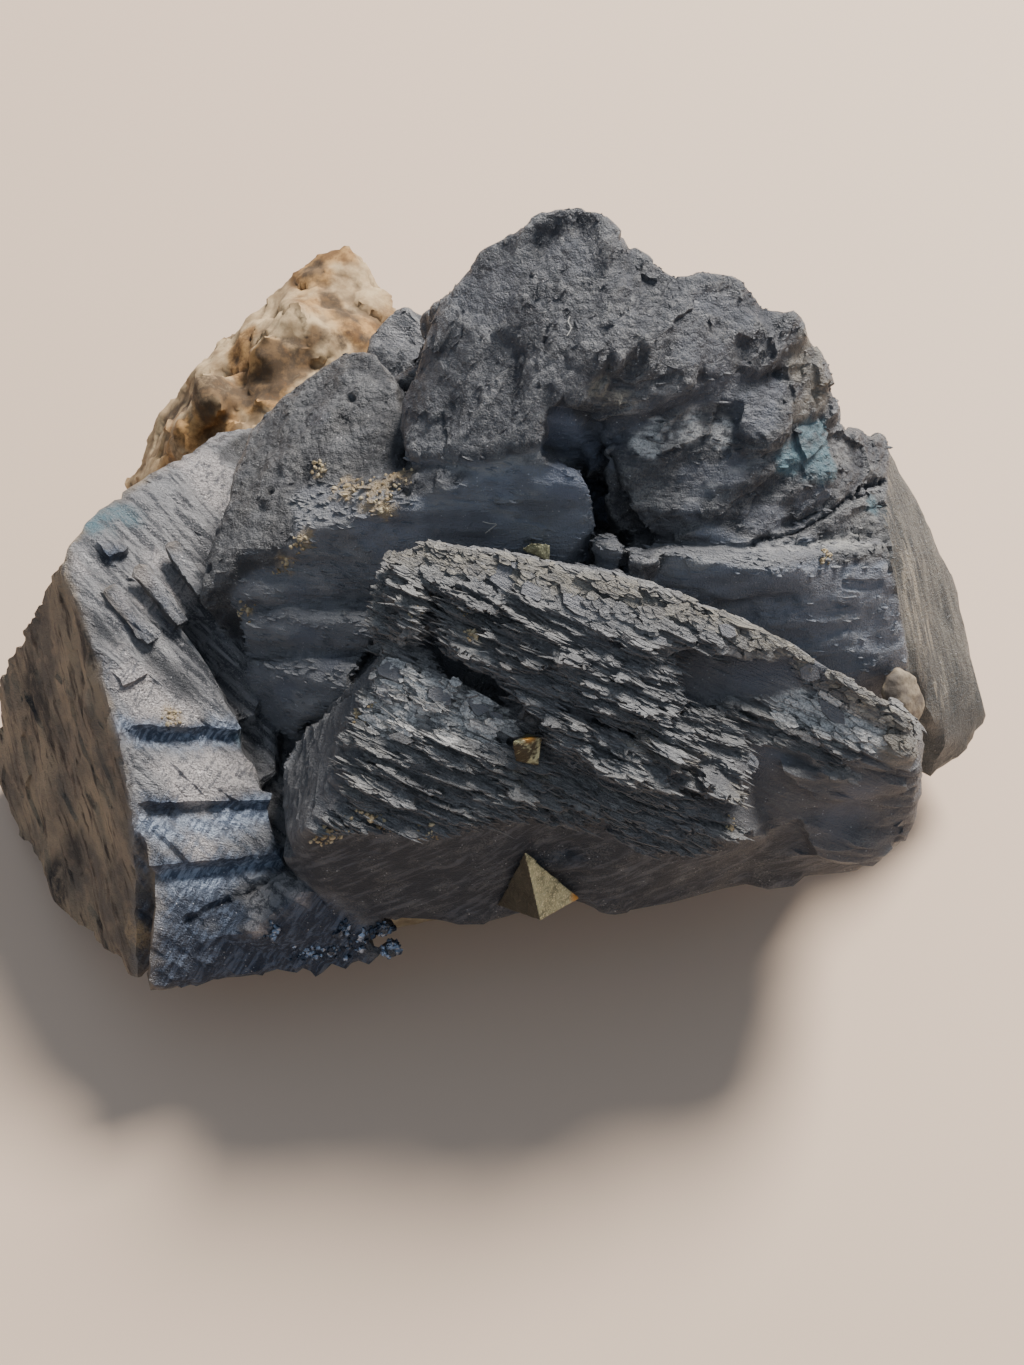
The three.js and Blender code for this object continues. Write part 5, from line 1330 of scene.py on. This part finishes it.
BRASS_GRID = 0.1
DARK_GOLD, LIGHT_GOLD = (0.18, 0.18, 0.105), (0.44, 0.43, 0.26)
GOLD_FLECK, GOLD_SPARKLE = (0.6, 0.57, 0.37), (0.75, 0.68, 0.42)
STRIPE_BROWN, SHADED_SIDE_BROWN, TIP_ORANGE = (0.05, 0.038, 0.02), (0.044, 0.036, 0.026), (0.5, 0.25, 0.05)
brass, brass_shader, add = new_material("chalcopyrite_brass")
tarnish_and_shade = surface_noise(add, 650.0, 6.0, 0.7)
speckle = add("ShaderNodeGroup", {"node_tree": grit_tree}, Grain=GRIT_GRAIN, Share=0.1)
stripes = streaks(add, (0.75, -0.2, 0.6), 0.008, 0.0005, 11.0)
gold = mix_colour(add, remap(add, tarnish_and_shade, 0.38, 0.62), DARK_GOLD, LIGHT_GOLD)
unstriped = calculate(add, "SUBTRACT", 1.0, attribute(add, "striped"))
flecks = times(add, remap(add, speckle.outputs["Grit"], 0.52, 0.62), unstriped)
gold = mix_colour(add, flecks, gold, GOLD_FLECK)
# painted sparkle: a few grains are coloured pale gold as glints
gold = mix_colour(add, times(add, speckle.outputs["Sparkle"], unstriped), gold, GOLD_SPARKLE)
gold = marked(add, gold, "striped", STRIPE_BROWN, remap(add, stripes, 0.42, 0.54))
# painted shade: dark brown on the faces turned to the left
gold = marked(add, gold, "tarnished", SHADED_SIDE_BROWN)
gold = marked(add, gold, "orange", TIP_ORANGE)
feed(brass_shader, "Base Color", gold)
brass_shader.inputs["Metallic"].default_value = 0.45
brass_shader.inputs["Roughness"].default_value = 0.45
bumpy(add, brass_shader, calculate(add, "ADD", tarnish_and_shade, speckle.outputs["Grit"]), 0.8, 0.00012)
TETRAHEDRA = {
    "front": {"orange": (5.3, -12.0, 17.0), "reach": 1.1, "striped": 0.0, "rise": 0.06, "tarnish_and_shade": 0.93},
    "middle": {"orange": (1.2, -7.0, 33.4), "reach": 0.9, "striped": 1.0, "rise": 0.05, "tarnish_and_shade": 0.35},
    "rear": {"orange": (1.8, 9.0, 36.0), "reach": 0.3, "striped": 0.3, "rise": 0.16, "tarnish_and_shade": 0.3},
}
for place_name, facts in TETRAHEDRA.items():
    node = "chalcopyrite_" + place_name
    small = after_modifier(solid_in_mm(node), "REMESH", mode="VOXEL", voxel_size=BRASS_GRID)
    small_points = points_of(small)
    small_out = normals_of(small)
    uneven = rough(small_points, 1.2, 161) + 0.6 * rough(small_points, 0.4, 163)
    small_points += small_out * (facts["rise"] * uneven)[:, None]
    move_points(small, small_points)
    # painted shade on the faces turned to the left, as strong as each crystal's share
    give_attribute(small, "tarnished", smooth_step(-small_out[:, 0], 0.1, 0.4) * facts["tarnish_and_shade"])
    give_attribute(small, "striped", np.full(len(small_points), facts["striped"]))
    orange = smooth_step(np.linalg.norm(small_points - facts["orange"], axis=1), facts["reach"], 0.2)
    give_attribute(small, "orange", orange * smooth_step(uneven, -0.6, 0.2))
    finished_piece(small, "brassy_" + place_name, node, brass, 30)

# Siderite knob
# A tan knob of siderite, iron carbonate, on the right edge of the front crystals: worn round, with a
# crumbly brown skin.

tan, tan_shader, add = new_material("tan_siderite")
grain = surface_noise(add, 800.0, 6.0, 0.7)
stain = surface_noise(add, 330.0, 4.0)
tan_colour = mix_colour(add, remap(add, grain, 0.35, 0.65), (0.17, 0.135, 0.095), (0.29, 0.235, 0.165))
tan_colour = mix_colour(add, remap(add, stain, 0.46, 0.6), tan_colour, (0.12, 0.098, 0.078))
feed(tan_shader, "Base Color", tan_colour)
tan_shader.inputs["Roughness"].default_value = 0.8
bumpy(add, tan_shader, grain, 0.9, 0.0002)
KNOB_GRID = 0.14
KNOB_ROUNDING = 14
KNOB_LUMP_SIZE, KNOB_LUMP_RISE, KNOB_SWELL = 1.4, 0.25, 0.05
knob = after_modifier(solid_in_mm("siderite_knob"), "REMESH", mode="VOXEL", voxel_size=KNOB_GRID)
knob_points = spread(points_of(knob), edges_of(knob), KNOB_ROUNDING)
lumps = KNOB_LUMP_RISE * rough(knob_points, KNOB_LUMP_SIZE, 171) + KNOB_SWELL
knob_points += normals_of(knob) * lumps[:, None]
move_points(knob, knob_points)
finished_piece(knob, "tan_knob", "siderite_knob", tan, 50)

# Floor, light and camera
# A plain pale floor, a large soft lamp behind and to the right, and the photograph's viewpoint.

CAMERA_LENS = 39.56
FLOOR_REACH = 3.0
FLOOR_COLOUR = (0.6, 0.45, 0.335, 1)
LAMP_PLACE = Vector((0.34, 0.51, 0.69))
LAMP_AIM = Vector((0, 0.02, 0.02))
LAMP_WIDTH = 0.32
LAMP_WATTS = 22.5
LAMP_COLOUR = (1.0, 0.955, 0.9)
SKY_FRONT, SKY_BACK = (0.6, 0.7, 0.84), (0.52, 0.61, 0.75)
SKY_STRENGTH = 0.66
floor_corners = [(x * FLOOR_REACH, y * FLOOR_REACH, 0) for x, y in ((-1, -1), (1, -1), (1, 1), (-1, 1))]
floor_mesh = bpy.data.meshes.new("floor")
floor_mesh.from_pydata(floor_corners, [], [(0, 1, 2, 3)])
floor = placed("floor", floor_mesh)
pale, pale_shader, add = new_material("pale_floor")
pale_shader.inputs["Base Color"].default_value = FLOOR_COLOUR
pale_shader.inputs["Roughness"].default_value = 0.7
floor_mesh.materials.append(pale)

lamp_data = bpy.data.lights.new("window", "AREA")
lamp_data.shape = "DISK"
lamp_data.size = LAMP_WIDTH
lamp_data.energy = LAMP_WATTS
lamp_data.color = LAMP_COLOUR
lamp = placed("window", lamp_data)
lamp.location = LAMP_PLACE
lamp.rotation_euler = (LAMP_AIM - LAMP_PLACE).to_track_quat("-Z", "Y").to_euler()

world = bpy.data.worlds.new("sky")
world.use_nodes = True
world_add = wired(world.node_tree)
sky_way = world_add("ShaderNodeTexCoord").outputs["Generated"]
away = world_add("ShaderNodeSeparateXYZ", Vector=sky_way).outputs["Y"]
sky = mix_colour(world_add, remap(world_add, away, -0.7, 0.8), SKY_FRONT, SKY_BACK)
background = world.node_tree.nodes["Background"]
feed(background, "Color", sky)
background.inputs["Strength"].default_value = SKY_STRENGTH
bpy.context.scene.world = world

camera_data = bpy.data.cameras.new("camera")
camera_data.lens = CAMERA_LENS
camera_data.clip_start = 0.005
camera = placed("camera", camera_data)
camera.location = CAMERA_PLACE
camera.rotation_euler = (radians(CAMERA_TILT), 0, 0)
bpy.context.scene.camera = camera
